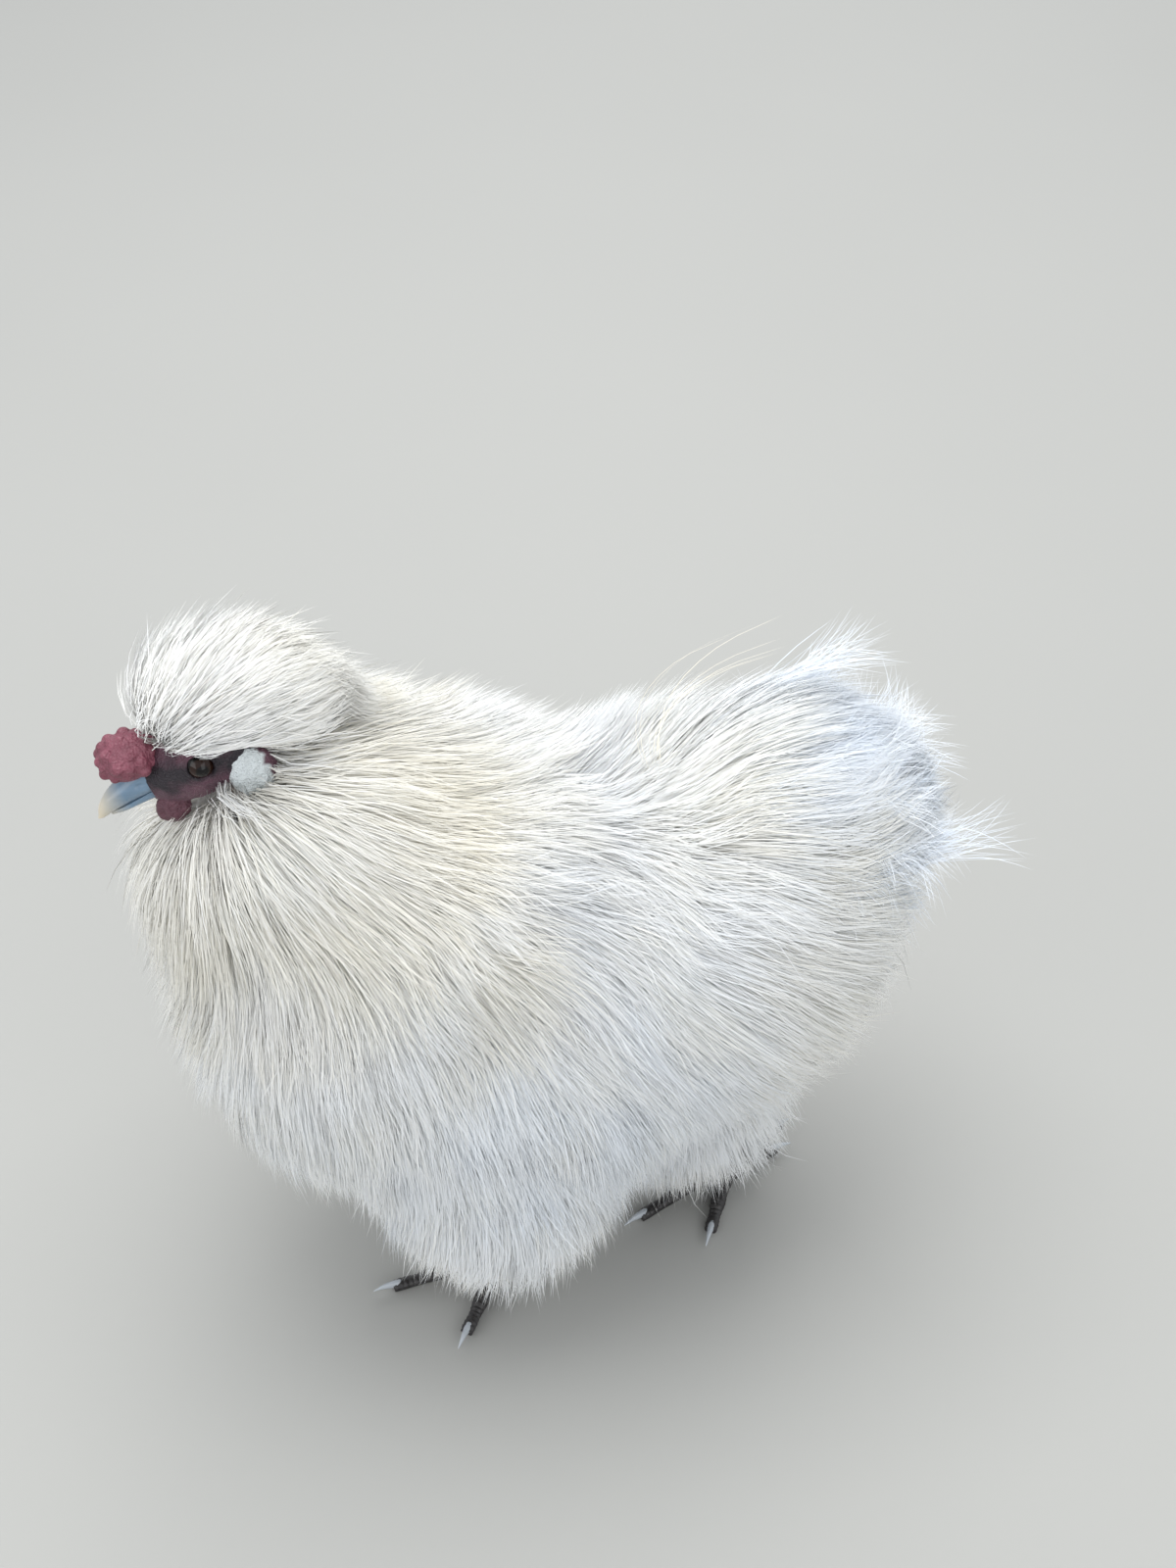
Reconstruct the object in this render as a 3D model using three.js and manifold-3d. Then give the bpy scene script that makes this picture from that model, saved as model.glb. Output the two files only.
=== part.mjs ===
// Silkie cock, life size, walking with the left foot forward.
// Millimetres. +X runs from the tail to the bill, +Y to the bird's left, +Z up, and the soles rest on z = 0.
// Each feathered part is an ellipsoidal core with flat, tapered locks that follow the lie of the plumage.
// Each part also has a territory, an ellipsoid that holds its locks. Parts further down the order are cut back
// from the territories above them, so that neighbours meet face to face with a thin gap.
import * as THREE from "three";
import { mergeVertices } from "three/addons/utils/BufferGeometryUtils.js";
import Module from "manifold-3d";

const wasm = await Module();
wasm.setup();

// Driving dimensions
const GAP = 0.3; // between neighbours
const SINK = 9; // how deep a lock's root lies in its core
const LOCK_THICK = 3.2;
const LOCK_LAYER = 4; // every other lock of a row lies this much higher, so that neighbours overlap clear
const LOCK_BOUND = 0.93; // share of its territory that a lock's middle line may use
const BODY_LENGTH = 216; // breast to rump, without the locks
const BODY_WIDTH = 164;
const BODY_HEIGHT = 160;
const BACK_HEIGHT = 150; // of the body's middle, above the floor
const HEAD_AT = [110, 2, 290];
const HEAD_PITCH = -20;
const HEAD_YAW = 5;
const SKULL_LONG = 44;
const SKULL_WIDE = 31;
const SKULL_HIGH = 33;
const BILL_LENGTH = 27;
const BILL_SIDES = 8;
const MOUTH_PITCH = 10;
const MOUTH_DROP = 2.4; // of the mouth's corner, below the middle of the skull
const SKULL_SIDES = 10;
const EYE_AT = [-1, 12.2, 4.5]; // this and the next places are in the head's own frame, on the left
const EYE_RADIUS = 5.6;
const LID_RADIUS = 1.5;
const LID_REACH = 3; // how far the lids stand clear of the eyeball
const COMB_AT = [22, 0, 12.5];
const COMB_HALF = [11, 10, 8.5];
const COMB_PITCH = 8;
const BULB_RADIUS = 4;
const LOBE_AT = [-16, 14, -8.5];
const LOBE_HALF = [9, 3.4, 10.5];
const LOBE_PITCH = 20;
const WATTLE_AT = [17, 5.4, -13.5];
const WATTLE_HALF = [6.2, 3.2, 7.4];
const WATTLE_PITCH = 10;
const SHANK_RADIUS = 5.2;
const SHANK_SIDES = 6;
const SCUTES = 5;
const SCUTE_STEP = 0.35;
const PAD_HALF = [8, 8, 6.8];
const TOE_RADIUS = 4.4;
const TOE_SIDES = 5;
const CLAW_LENGTH = 12;
const CLAW_RADIUS = 2.2;
const CLAW_ROOT = 3; // how far a claw's root lies back from the toe's end
const HIGH_TOE = 8; // height of the root of the toe that points up
const FLOOR_FLAT = 0.9; // how deep the soles are cut to make small flats
const LEFT_FOOT = [7, 28];
const RIGHT_FOOT = [-104, -1];

const radians = THREE.MathUtils.degToRad;
const vec = (v) => new THREE.Vector3(...v);

// A seeded random draw, so that the locks vary the same way each time.
function randomFrom(seed) {
  let state = seed;
  return () => {
    state = (state + 0x6d2b79f5) | 0;
    let t = Math.imul(state ^ (state >>> 15), 1 | state);
    t = (t + Math.imul(t ^ (t >>> 7), 61 | t)) ^ t;
    return ((t ^ (t >>> 14)) >>> 0) / 4294967296;
  };
}

// Solids

// A closed solid from vertices and triangles, turned the right way out.
function solidFrom(vertices, triangles) {
  let sixVolumes = 0;
  for (const [a, b, c] of triangles)
    sixVolumes += vertices[a].dot(vertices[b].clone().cross(vertices[c]));
  const triVerts = new Uint32Array(
    triangles.flatMap(([a, b, c]) => (sixVolumes < 0 ? [a, c, b] : [a, b, c])),
  );
  const vertProperties = new Float32Array(vertices.flatMap((v) => v.toArray()));
  return new wasm.Manifold(new wasm.Mesh({ numProp: 3, vertProperties, triVerts }));
}

// A solid from a three.js geometry, placed by a matrix.
function solidOf(geometry, matrix) {
  const bare = new THREE.BufferGeometry();
  bare.setAttribute("position", geometry.getAttribute("position").clone());
  bare.setIndex(geometry.index);
  const merged = mergeVertices(bare.applyMatrix4(matrix), 1e-4);
  const index = merged.index.array;
  const place = merged.getAttribute("position");
  const vertices = [];
  for (let i = 0; i < place.count; i++)
    vertices.push(new THREE.Vector3().fromBufferAttribute(place, i));
  const triangles = [];
  for (let i = 0; i < index.length; i += 3) {
    const [a, b, c] = [index[i], index[i + 1], index[i + 2]];
    if (a !== b && b !== c && a !== c) triangles.push([a, b, c]);
  }
  return solidFrom(vertices, triangles);
}

const union = (solids) => wasm.Manifold.union(solids);
const cutBy = (solid, cutters) => cutters.reduce((left, cutter) => left.subtract(cutter), solid);

// A loft of elliptical rings along a line. Each station is [x, y, z, half width, half height], and the rings
// stand across the line. Grow adds a margin all round.
function loft(stations, sides, grow = 0, wide = new THREE.Vector3(0, 1, 0)) {
  const centres = stations.map(([x, y, z]) => new THREE.Vector3(x, y, z));
  const vertices = [];
  const triangles = [];
  const along = centres.map((_, i) =>
    centres[Math.min(i + 1, centres.length - 1)].clone().sub(centres[Math.max(i - 1, 0)]).normalize(),
  );
  stations.forEach(([, , , halfWide, halfHigh], i) => {
    const across = wide.clone().addScaledVector(along[i], -wide.dot(along[i])).normalize();
    const up = along[i].clone().cross(across);
    for (let k = 0; k < sides; k++) {
      const turn = (2 * Math.PI * (k + 0.5)) / sides;
      const rim = centres[i].clone().addScaledVector(across, Math.cos(turn) * (halfWide + grow));
      vertices.push(rim.addScaledVector(up, Math.sin(turn) * (halfHigh + grow)));
    }
  });
  for (let i = 0; i + 1 < stations.length; i++)
    for (let k = 0; k < sides; k++) {
      const a = i * sides + k;
      const b = i * sides + ((k + 1) % sides);
      triangles.push([a, b, b + sides], [a, b + sides, a + sides]);
    }
  const last = stations.length - 1;
  vertices.push(centres[0].clone().addScaledVector(along[0], -grow));
  vertices.push(centres[last].clone().addScaledVector(along[last], grow));
  const start = vertices.length - 2;
  for (let k = 0; k < sides; k++) {
    const next = (k + 1) % sides;
    triangles.push([start, next, k]);
    triangles.push([start + 1, last * sides + k, last * sides + next]);
  }
  return solidFrom(vertices, triangles);
}

// Ellipsoidal forms

// A form has a centre, half sizes and a turn in degrees: pitch lifts its +X end, yaw turns it to the left.
function form(centre, half, pitch = 0, yaw = 0) {
  const place = new THREE.Matrix4().makeTranslation(...centre);
  place.multiply(new THREE.Matrix4().makeRotationZ(radians(yaw)));
  place.multiply(new THREE.Matrix4().makeRotationY(radians(-pitch)));
  return { place, half };
}

const mirrored = ([x, y, z], side) => [x, y * side, z];
const grown = ({ place, half }, margin) => ({ place, half: half.map((h) => h + margin) });

function solidForm({ place, half }, around = 12, down = 7) {
  const ball = new THREE.SphereGeometry(1, around, down);
  return solidOf(ball, place.clone().scale(vec(half)));
}

// A point of a form's surface and its outward normal, for a direction in the form's own frame.
function surfaceOf({ place, half }, direction) {
  const size = vec(half);
  const point = direction.clone().multiply(size).applyMatrix4(place);
  const normal = direction.clone().divide(size).transformDirection(place);
  return { point, normal };
}

function isInside({ place, half }, point) {
  const local = point.clone().applyMatrix4(place.clone().invert()).divide(vec(half));
  return local.length() < 1;
}

// Moves a point that lies near or past a form's edge back inside, along the line to the middle.
function heldIn({ place, half }, point) {
  const local = point.clone().applyMatrix4(place.clone().invert());
  const reach = local.clone().divide(vec(half)).length();
  return reach > LOCK_BOUND ? local.multiplyScalar(LOCK_BOUND / reach).applyMatrix4(place) : point;
}

// Locks

// A blade with a flat underside and a low ridge on top, from a blunt root to a sharp tip.
// Each station is {point, normal, wide, thick}.
function blade(stations) {
  const vertices = [];
  const last = stations.length - 1;
  for (let i = 0; i < last; i++) {
    const { point, normal, wide, thick } = stations[i];
    const before = stations[Math.max(i - 1, 0)].point;
    const along = stations[i + 1].point.clone().sub(before).normalize();
    const across = along.clone().cross(normal).normalize();
    const up = across.clone().cross(along);
    for (const [a, u] of [[wide / 2, -thick / 3], [0, (2 * thick) / 3], [-wide / 2, -thick / 3]])
      vertices.push(point.clone().addScaledVector(across, a).addScaledVector(up, u));
  }
  vertices.push(stations[last].point);
  const triangles = [[0, 1, 2]];
  for (let i = 0; i < last; i++)
    for (let k = 0; k < 3; k++) {
      const a = i * 3 + k;
      const b = i * 3 + ((k + 1) % 3);
      if (i + 1 < last) triangles.push([b, a, a + 3], [b, a + 3, b + 3]);
      else triangles.push([b, a, last * 3]);
    }
  return solidFrom(vertices, triangles);
}

const LOCK_SHAPE = [
  [0, 0.66, 1],
  [0.34, 1, 0.95],
  [0.72, 0.8, 0.7],
  [1, 0, 0],
]; // share of the length, of the width, and of the thickness

const VANE_SHAPE = [
  [0, 0.5, 1],
  [0.4, 0.9, 0.8],
  [0.8, 1, 0.6],
  [1, 0, 0],
]; // broader towards its end

// Locks rooted in rows on a form. The lie runs from the pole to the far side of the form.
// Each row has polar (degrees from the pole), around (from, to, in degrees), count, sweep (how many degrees
// the lock runs), width, reach, and may have a lift and a shape of its own. A lift under 1 rises early.
const TURN_JITTER = 4;
function plant({ core, space, pole, zero, rows, keepOut, seed }) {
  const random = randomFrom(seed);
  const vary = (share) => 1 + share * (2 * random() - 1);
  const p = vec(pole).normalize();
  const e1 = vec(zero).addScaledVector(p, -vec(zero).dot(p)).normalize();
  const e2 = p.clone().cross(e1);
  const locks = [];
  for (const row of rows) {
    const { polar, around, count, sweep, width, reach, shape = LOCK_SHAPE, lift = 0.6 } = row;
    const [from, to] = around;
    const isRing = Math.abs(to - from) >= 360;
    for (let i = 0; i < count; i++) {
      const share = isRing ? (i + 0.5) / count : count > 1 ? i / (count - 1) : 0.5;
      const phi = radians(from + (to - from) * share + (random() - 0.5) * TURN_JITTER);
      const start = polar + (random() - 0.5) * TURN_JITTER;
      const run = sweep * vary(0.12);
      const wide = width * vary(0.1);
      const out = reach * vary(0.05);
      const layer = (i % 2) * LOCK_LAYER;
      const stations = shape.map(([s, wideShare, thickShare]) => {
        const theta = radians(start + run * s);
        const direction = p.clone().multiplyScalar(Math.cos(theta));
        direction.addScaledVector(e1, Math.sin(theta) * Math.cos(phi));
        direction.addScaledVector(e2, Math.sin(theta) * Math.sin(phi));
        const { point, normal } = surfaceOf(core, direction);
        point.addScaledVector(normal, (out + SINK) * Math.pow(s, lift) - SINK + layer * Math.min(3 * s, 1));
        const held = space ? heldIn(space, point) : point;
        return { point: held, normal, wide: wide * wideShare, thick: LOCK_THICK * thickShare };
      });
      if (!keepOut.some((territory) => isInside(territory, stations[1].point))) locks.push(blade(stations));
    }
  }
  return locks;
}

// Nodes

const bird = new THREE.Group();

function material(color, roughness) {
  return new THREE.MeshStandardMaterial({ color, roughness, metalness: 0 });
}

const plumage = material(0xf2efe6, 0.9);
const bareSkin = material(0x5b2f3c, 0.55);
const combSkin = material(0x8c3a4c, 0.6);
const lobeSkin = material(0xb9d3da, 0.5);
const horn = material(0x8fa2ad, 0.35);
const eyeBlack = material(0x0b0708, 0.08);
const scale = material(0x37363d, 0.5);
const clawHorn = material(0xb4bcc6, 0.4);

// Keeps a solid's largest closed surface and adds it to the bird as a named mesh.
function addNode(name, solid, finish) {
  const whole = solid.decompose().reduce((a, b) => (b.volume() > a.volume() ? b : a));
  const { vertProperties, triVerts } = whole.getMesh();
  const geometry = new THREE.BufferGeometry();
  geometry.setAttribute("position", new THREE.BufferAttribute(new Float32Array(vertProperties), 3));
  geometry.setIndex(new THREE.BufferAttribute(new Uint32Array(triVerts), 1));
  geometry.computeVertexNormals();
  const mesh = new THREE.Mesh(geometry, finish);
  mesh.name = name;
  bird.add(mesh);
}

// The forms: cores inside, territories outside

const torsoCore = form([-4, 0, BACK_HEIGHT], [BODY_LENGTH / 2, BODY_WIDTH / 2, BODY_HEIGHT / 2]);
const breastCore = form([60, 0, 168], [60, 68, 80]);
const capeCore = form([18, 0, 212], [62, 70, 48]);
const rumpCore = form([-86, 0, 168], [66, 74, 68], 20);
const neckCore = form([74, 0, 238], [61, 52, 55]);
const neckSpace = form([74, 0, 238], [86, 75, 79]);
const crestCore = form([99, 1, 308], [36, 25, 25], 0, HEAD_YAW);
const crestSpace = form([99, 1, 309], [56, 43, 42], 0, HEAD_YAW);
const tailCore = form([-106, 0, 212], [54, 41, 45], 8);
const tailSpace = form([-124, 0, 210], [92, 66, 77], 10);

const sides = { left: 1, right: -1 };
const wingCore = (side) => form([-14, 74 * side, 160], [60, 14, 30], 10, 6 * side);
const wingSpace = (side) => form([-31, 76 * side, 156], [83, 26, 46], 10, 6 * side);

const legs = {
  left: { side: 1, foot: LEFT_FOOT, hock: [-4, 38, 76], turn: 4 },
  right: { side: -1, foot: RIGHT_FOOT, hock: [-84, -22, 80], turn: 22 },
};
const thighCore = {
  left: form([10, 50, 84], [38, 28, 46]),
  right: form([-82, -4, 70], [36, 30, 44]),
};
const thighSpace = {
  left: form([10, 50, 82], [58, 46, 66]),
  right: form([-82, -4, 72], [56, 48, 66]),
};

// Head, in its own frame: +X to the bill, origin in the middle of the skull

const headPlace = form(HEAD_AT, [1, 1, 1], HEAD_PITCH, HEAD_YAW).place;
const inHead = (solid) => solid.transform(headPlace.elements);
const headForm = (centre, half, pitch = 0, yaw = 0) => {
  const local = form(centre, half, pitch, yaw);
  return { place: headPlace.clone().multiply(local.place), half };
};

const skull = (grow) =>
  inHead(
    loft(
      [
        [-0.75, 0.42],
        [-0.58, 0.76],
        [-0.3, 0.97],
        [-0.02, 1],
        [0.2, 0.88],
        [0.36, 0.7],
        [0.46, 0.5],
      ].map(([x, size]) => [
        x * SKULL_LONG,
        0,
        x < 0 ? 0 : -4 * x,
        (SKULL_WIDE / 2) * size,
        (SKULL_HIGH / 2) * size,
      ]),
      SKULL_SIDES,
      grow,
    ),
  );

const billBase = SKULL_LONG * 0.38;
const upperBill = (grow) =>
  loft(
    [
      [0, 1, 7, 6.5],
      [0.28, 0.6, 6.2, 5.8],
      [0.56, -1, 4.8, 4.6],
      [0.8, -3.4, 3.1, 3.4],
      [0.95, -6.4, 1.5, 2],
      [1, -8.2, 0.5, 0.7],
    ].map(([s, z, wide, high]) => [billBase + s * BILL_LENGTH, 0, z, wide, high]),
    BILL_SIDES,
    grow,
  );
const lowerBill = (grow) =>
  loft(
    [
      [0, -4.4, 6, 4],
      [0.35, -5, 4.6, 3.4],
      [0.65, -6.2, 3, 2.4],
      [0.8, -7.2, 1.4, 1.2],
    ].map(([s, z, wide, high]) => [billBase + s * BILL_LENGTH, 0, z, wide, high]),
    BILL_SIDES,
    grow,
  );

// The mouth is a thin slanted cut between the two halves of the bill.
const mouthPlace = new THREE.Matrix4()
  .makeTranslation(billBase, 0, -MOUTH_DROP)
  .multiply(new THREE.Matrix4().makeRotationY(radians(MOUTH_PITCH)));
const halfSpace = (above) =>
  solidOf(
    new THREE.BoxGeometry(90, 60, 40),
    mouthPlace.clone().multiply(new THREE.Matrix4().makeTranslation(0, 0, above * (20 + GAP / 2))),
  );

const eyeForm = (side) => headForm(mirrored(EYE_AT, side), [EYE_RADIUS, EYE_RADIUS, EYE_RADIUS]);
const combForm = headForm(COMB_AT, COMB_HALF, COMB_PITCH);
const lobeForm = (side) => headForm(mirrored(LOBE_AT, side), LOBE_HALF, LOBE_PITCH);
const wattleForm = (side) => headForm(mirrored(WATTLE_AT, side), WATTLE_HALF, WATTLE_PITCH);
// The plumage stays out of the face and of a hollow beside each eye and each earlobe.
const faceSpace = headForm([13, 0, -1], [34, 19.5, 19]);
const eyeSpace = (side) => headForm([2, 30 * side, 9], [20, 22, 13]);
const lobeSpace = (side) => headForm([LOBE_AT[0], 28 * side, LOBE_AT[2] + 3], [12, 20, 14], LOBE_PITCH);

function buildHead() {
  // The walnut comb: a cushion with small bulbs in rings.
  const random = randomFrom(5);
  const bulbs = [];
  for (const [polar, count] of [[0, 1], [42, 5], [80, 6]])
    for (let i = 0; i < count; i++) {
      const phi = (2 * Math.PI * (i + 0.5 * (polar > 50))) / count;
      const theta = radians(polar);
      const direction = new THREE.Vector3(
        Math.sin(theta) * Math.cos(phi),
        Math.sin(theta) * Math.sin(phi),
        Math.cos(theta),
      );
      const { point } = surfaceOf(grown(combForm, -0.4 * BULB_RADIUS), direction);
      const size = BULB_RADIUS * (0.82 + 0.18 * random());
      bulbs.push(solidOf(new THREE.SphereGeometry(size, 6, 4), new THREE.Matrix4().setPosition(point)));
    }
  const comb = union([solidForm(combForm, 10, 6), ...bulbs]);
  const combCut = solidForm(grown(combForm, GAP), 10, 6);

  const billCut = inHead(union([upperBill(GAP), lowerBill(GAP)]));
  const upper = inHead(upperBill(0).intersect(halfSpace(1)));
  const lower = inHead(lowerBill(0).intersect(halfSpace(-1)));
  // Nostrils: a slit-shaped hollow on each side of the upper half.
  const nostrils = [1, -1].map((side) =>
    solidForm(headForm([billBase + 6.5, side * 6.6, 2.2], [2.2, 1.6, 0.9], -12), 6, 4),
  );
  addNode("bill_upper", cutBy(upper, [combCut, ...nostrils]), horn);
  addNode("bill_lower", lower, horn);

  // Lids: an oval ring round each eye.
  const lids = [1, -1].map((side) => {
    const [x, y, z] = EYE_AT;
    const place = new THREE.Matrix4().makeTranslation(x, side * (y + EYE_RADIUS / 2), z);
    place.multiply(new THREE.Matrix4().makeRotationX(radians(90))).scale(new THREE.Vector3(1.18, 0.92, 1));
    const lid = new THREE.TorusGeometry(EYE_RADIUS * 0.86, LID_RADIUS, 4, 10);
    return solidOf(lid, headPlace.clone().multiply(place));
  });
  const bothSides = (formOf, margin, around, down) =>
    [1, -1].map((side) => solidForm(grown(formOf(side), margin), around, down));
  const lobeCuts = bothSides(lobeForm, GAP, 8, 6);
  const wattleCuts = bothSides(wattleForm, GAP, 8, 5);
  const eyeCuts = bothSides(eyeForm, GAP, 10, 7);
  const head = union([skull(0), ...lids]);
  addNode("head", cutBy(head, [billCut, combCut, ...eyeCuts, ...lobeCuts, ...wattleCuts]), bareSkin);
  addNode("comb", cutBy(comb, [billCut, skull(GAP)]), combSkin);
  for (const [name, side] of Object.entries(sides)) {
    addNode("eye_" + name, solidForm(eyeForm(side), 10, 7), eyeBlack);
    addNode("earlobe_" + name, solidForm(lobeForm(side), 8, 6), lobeSkin);
    addNode("wattle_" + name, cutBy(solidForm(wattleForm(side), 8, 5), [billCut]), combSkin);
  }
  const clear = [
    solidForm(faceSpace),
    solidForm(grown(combForm, BULB_RADIUS), 10, 6),
    ...bothSides(eyeForm, LID_REACH, 8, 6),
    ...bothSides(eyeSpace, 0, 8, 6),
    ...bothSides(lobeSpace, 0, 8, 6),
  ];
  return union([skull(GAP), billCut, ...lobeCuts, ...wattleCuts, ...clear]);
}

// Feathered parts, in order: crest, neck, wings, tail, thighs, torso

const bodyInside = union([torsoCore, breastCore, capeCore, rumpCore].map((core) => solidForm(core, 14, 8)));
const territory = (space) => solidForm(grown(space, GAP));

// A feathered node: its core, its share of the body's inside and its locks.
function feathered(core, space, locks, cutters) {
  const inside = bodyInside.intersect(solidForm(space));
  return cutBy(union([solidForm(core), inside, ...locks]), cutters);
}

const ring = (polar, count, sweep, width, reach, more = {}) => {
  return { polar, around: [0, 360], count, sweep, width, reach, ...more };
};
const band = (polar, limit, count, sweep, width, reach, more = {}) => {
  return { polar, around: [-limit, limit], count, sweep, width, reach, ...more };
};

function buildPlumage(headCut) {
  const face = [grown(faceSpace, 1), ...[1, -1].flatMap((side) => [eyeSpace(side), lobeSpace(side)])];
  const crestLocks = plant({
    core: crestCore,
    space: crestSpace,
    pole: [0.95, 0, 0.1],
    zero: [0, 0, 1],
    rows: [band(34, 70, 4, 60, 22, 12), band(66, 105, 6, 56, 22, 14), band(98, 110, 5, 46, 26, 16)],
    keepOut: face,
    seed: 11,
  });
  addNode("crest", feathered(crestCore, crestSpace, crestLocks, [headCut]), plumage);
  const crestCut = territory(crestSpace);

  const neckLocks = plant({
    core: neckCore,
    space: neckSpace,
    pole: [0.3, 0, 0.95],
    zero: [1, 0, 0],
    rows: [ring(50, 8, 46, 36, 18), ring(76, 9, 46, 38, 20), ring(102, 9, 46, 38, 22)],
    keepOut: [crestSpace, ...face],
    seed: 12,
  });
  addNode("neck", feathered(neckCore, neckSpace, neckLocks, [headCut, crestCut]), plumage);
  const neckCut = territory(neckSpace);
  const above = [crestSpace, neckSpace];

  for (const [name, side] of Object.entries(sides)) {
    const outer = side > 0 ? [-150, -30] : [30, 150];
    const tier = (polar, count, sweep, width, reach) => {
      return { polar, around: outer, count, sweep, width, reach, shape: VANE_SHAPE };
    };
    const vanes = plant({
      core: wingCore(side),
      space: wingSpace(side),
      pole: [1, 0, 0.15],
      zero: [0, 0, 1],
      rows: [tier(30, 3, 46, 22, 6), tier(60, 3, 50, 26, 7), tier(92, 4, 64, 24, 9)],
      keepOut: above,
      seed: 21 + side,
    });
    addNode("wing_" + name, feathered(wingCore(side), wingSpace(side), vanes, [neckCut, crestCut]), plumage);
  }
  const wingCuts = Object.values(sides).map((side) => territory(wingSpace(side)));
  const wingSpaces = Object.values(sides).map(wingSpace);

  const tailVanes = plant({
    core: tailCore,
    space: tailSpace,
    pole: [0.85, 0, -0.35],
    zero: [0, 0, 1],
    rows: [
      band(40, 120, 5, 50, 34, 16),
      ring(72, 10, 58, 32, 24, { lift: 0.9 }),
      ring(104, 9, 50, 32, 32, { lift: 0.9 }),
      ring(140, 6, 26, 26, 40, { lift: 0.9 }),
    ],
    keepOut: [...above, ...wingSpaces],
    seed: 31,
  });
  addNode("tail", feathered(tailCore, tailSpace, tailVanes, [neckCut, ...wingCuts]), plumage);
  const tailCut = territory(tailSpace);

  const shankCuts = Object.values(legs).map((leg) => shank(leg, GAP));
  for (const [name, leg] of Object.entries(legs)) {
    const locks = plant({
      core: thighCore[name],
      space: thighSpace[name],
      pole: [0, 0, 1],
      zero: [1, 0, 0],
      rows: [ring(64, 6, 52, 36, 16), ring(102, 6, 48, 34, 19)],
      keepOut: [...wingSpaces, tailSpace],
      seed: 41 + leg.side,
    });
    const cutters = [...wingCuts, tailCut, ...shankCuts];
    if (name === "right") cutters.push(territory(thighSpace.left));
    addNode("thigh_" + name, feathered(thighCore[name], thighSpace[name], locks, cutters), plumage);
  }
  const thighSpaces = Object.values(thighSpace);
  const thighCuts = thighSpaces.map(territory);

  const taken = [...above, ...wingSpaces, ...thighSpaces];
  const breastLocks = plant({
    core: breastCore,
    pole: [0.25, 0, 0.97],
    zero: [1, 0, 0],
    rows: [
      band(70, 100, 6, 36, 40, 18),
      band(94, 105, 7, 36, 40, 20),
      band(118, 110, 7, 36, 40, 21),
      band(142, 110, 4, 30, 38, 18),
    ],
    keepOut: taken,
    seed: 51,
  });
  const flankLocks = plant({
    core: torsoCore,
    pole: [0.48, 0, 0.87],
    zero: [1, 0, 0],
    rows: [ring(78, 9, 38, 44, 17), ring(102, 10, 38, 44, 18), ring(126, 7, 34, 40, 19)],
    keepOut: [...taken, tailSpace, rumpCore, breastCore],
    seed: 52,
  });
  const capeLocks = plant({
    core: capeCore,
    pole: [1, 0, 0.2],
    zero: [0, 0, 1],
    rows: [band(88, 105, 6, 44, 40, 18), band(120, 105, 6, 44, 40, 20)],
    keepOut: taken,
    seed: 54,
  });
  const saddleLocks = plant({
    core: rumpCore,
    pole: [0.72, 0, 0.69],
    zero: [0, 0, 1],
    rows: [
      band(40, 140, 5, 46, 38, 20),
      band(68, 140, 8, 46, 36, 22),
      band(96, 135, 8, 44, 36, 24),
      band(124, 115, 5, 38, 36, 24),
    ],
    keepOut: [...taken, tailSpace],
    seed: 53,
  });
  const torso = union([bodyInside, ...breastLocks, ...flankLocks, ...capeLocks, ...saddleLocks]);
  addNode("torso", cutBy(torso, [headCut, crestCut, neckCut, ...wingCuts, tailCut, ...thighCuts]), plumage);
}

// Legs and feet

// The shank runs from the hock down to the ankle, with raised scutes in front as rings that step in and out.
function shank({ foot: [x, y], hock }, grow = 0) {
  const top = vec(hock);
  const bottom = new THREE.Vector3(x, y, TOE_RADIUS + 6);
  const stations = [];
  for (let i = 0; i <= 2 * SCUTES; i++) {
    const s = i / (2 * SCUTES);
    const flare = 1 + 0.25 * Math.pow(Math.abs(2 * s - 1), 3);
    const step = i % 2 ? SCUTE_STEP : 0;
    const at = top.clone().lerp(bottom, s);
    stations.push([at.x, at.y, at.z, SHANK_RADIUS * flare * 0.86 + step, SHANK_RADIUS * flare + step]);
  }
  return loft(stations, SHANK_SIDES, grow);
}

// Toes by number: angle from straight ahead (inwards positive), length, and how far the tip rises.
const TOES = [
  { name: "hallux", angle: 172, length: 24, rise: 0 },
  { name: "inner", angle: 40, length: 38, rise: 0 },
  { name: "middle", angle: 0, length: 50, rise: 0 },
  { name: "outer", angle: -52, length: 42, rise: 0 },
  { name: "extra", angle: 150, length: 22, rise: 22 },
];

function toeLine({ side, foot: [x, y], turn }, toe) {
  const heading = radians(turn - side * toe.angle);
  const ahead = new THREE.Vector3(Math.cos(heading), Math.sin(heading), 0);
  const at = (distance, z) => new THREE.Vector3(x, y, z).addScaledVector(ahead, distance);
  return { ahead, at };
}

function toeSolid(leg, toe, grow = 0) {
  const { ahead, at } = toeLine(leg, toe);
  const joints = 4;
  const stations = [];
  for (let i = 0; i <= joints; i++) {
    const s = i / joints;
    const radius = TOE_RADIUS * (1 - 0.38 * s) * (i % 2 ? 1.08 : 0.98);
    const low = toe.rise ? HIGH_TOE : radius - FLOOR_FLAT;
    const arch = toe.rise ? toe.rise * s * s : 3.2 * (1 - s) * (1 - s) + 1.2 * Math.sin(Math.PI * s);
    const point = at(toe.length * s, low + arch);
    stations.push([point.x, point.y, point.z, radius, radius * 0.95]);
  }
  return loft(stations, TOE_SIDES, grow, ahead.clone().cross(new THREE.Vector3(0, 0, 1)));
}

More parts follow.
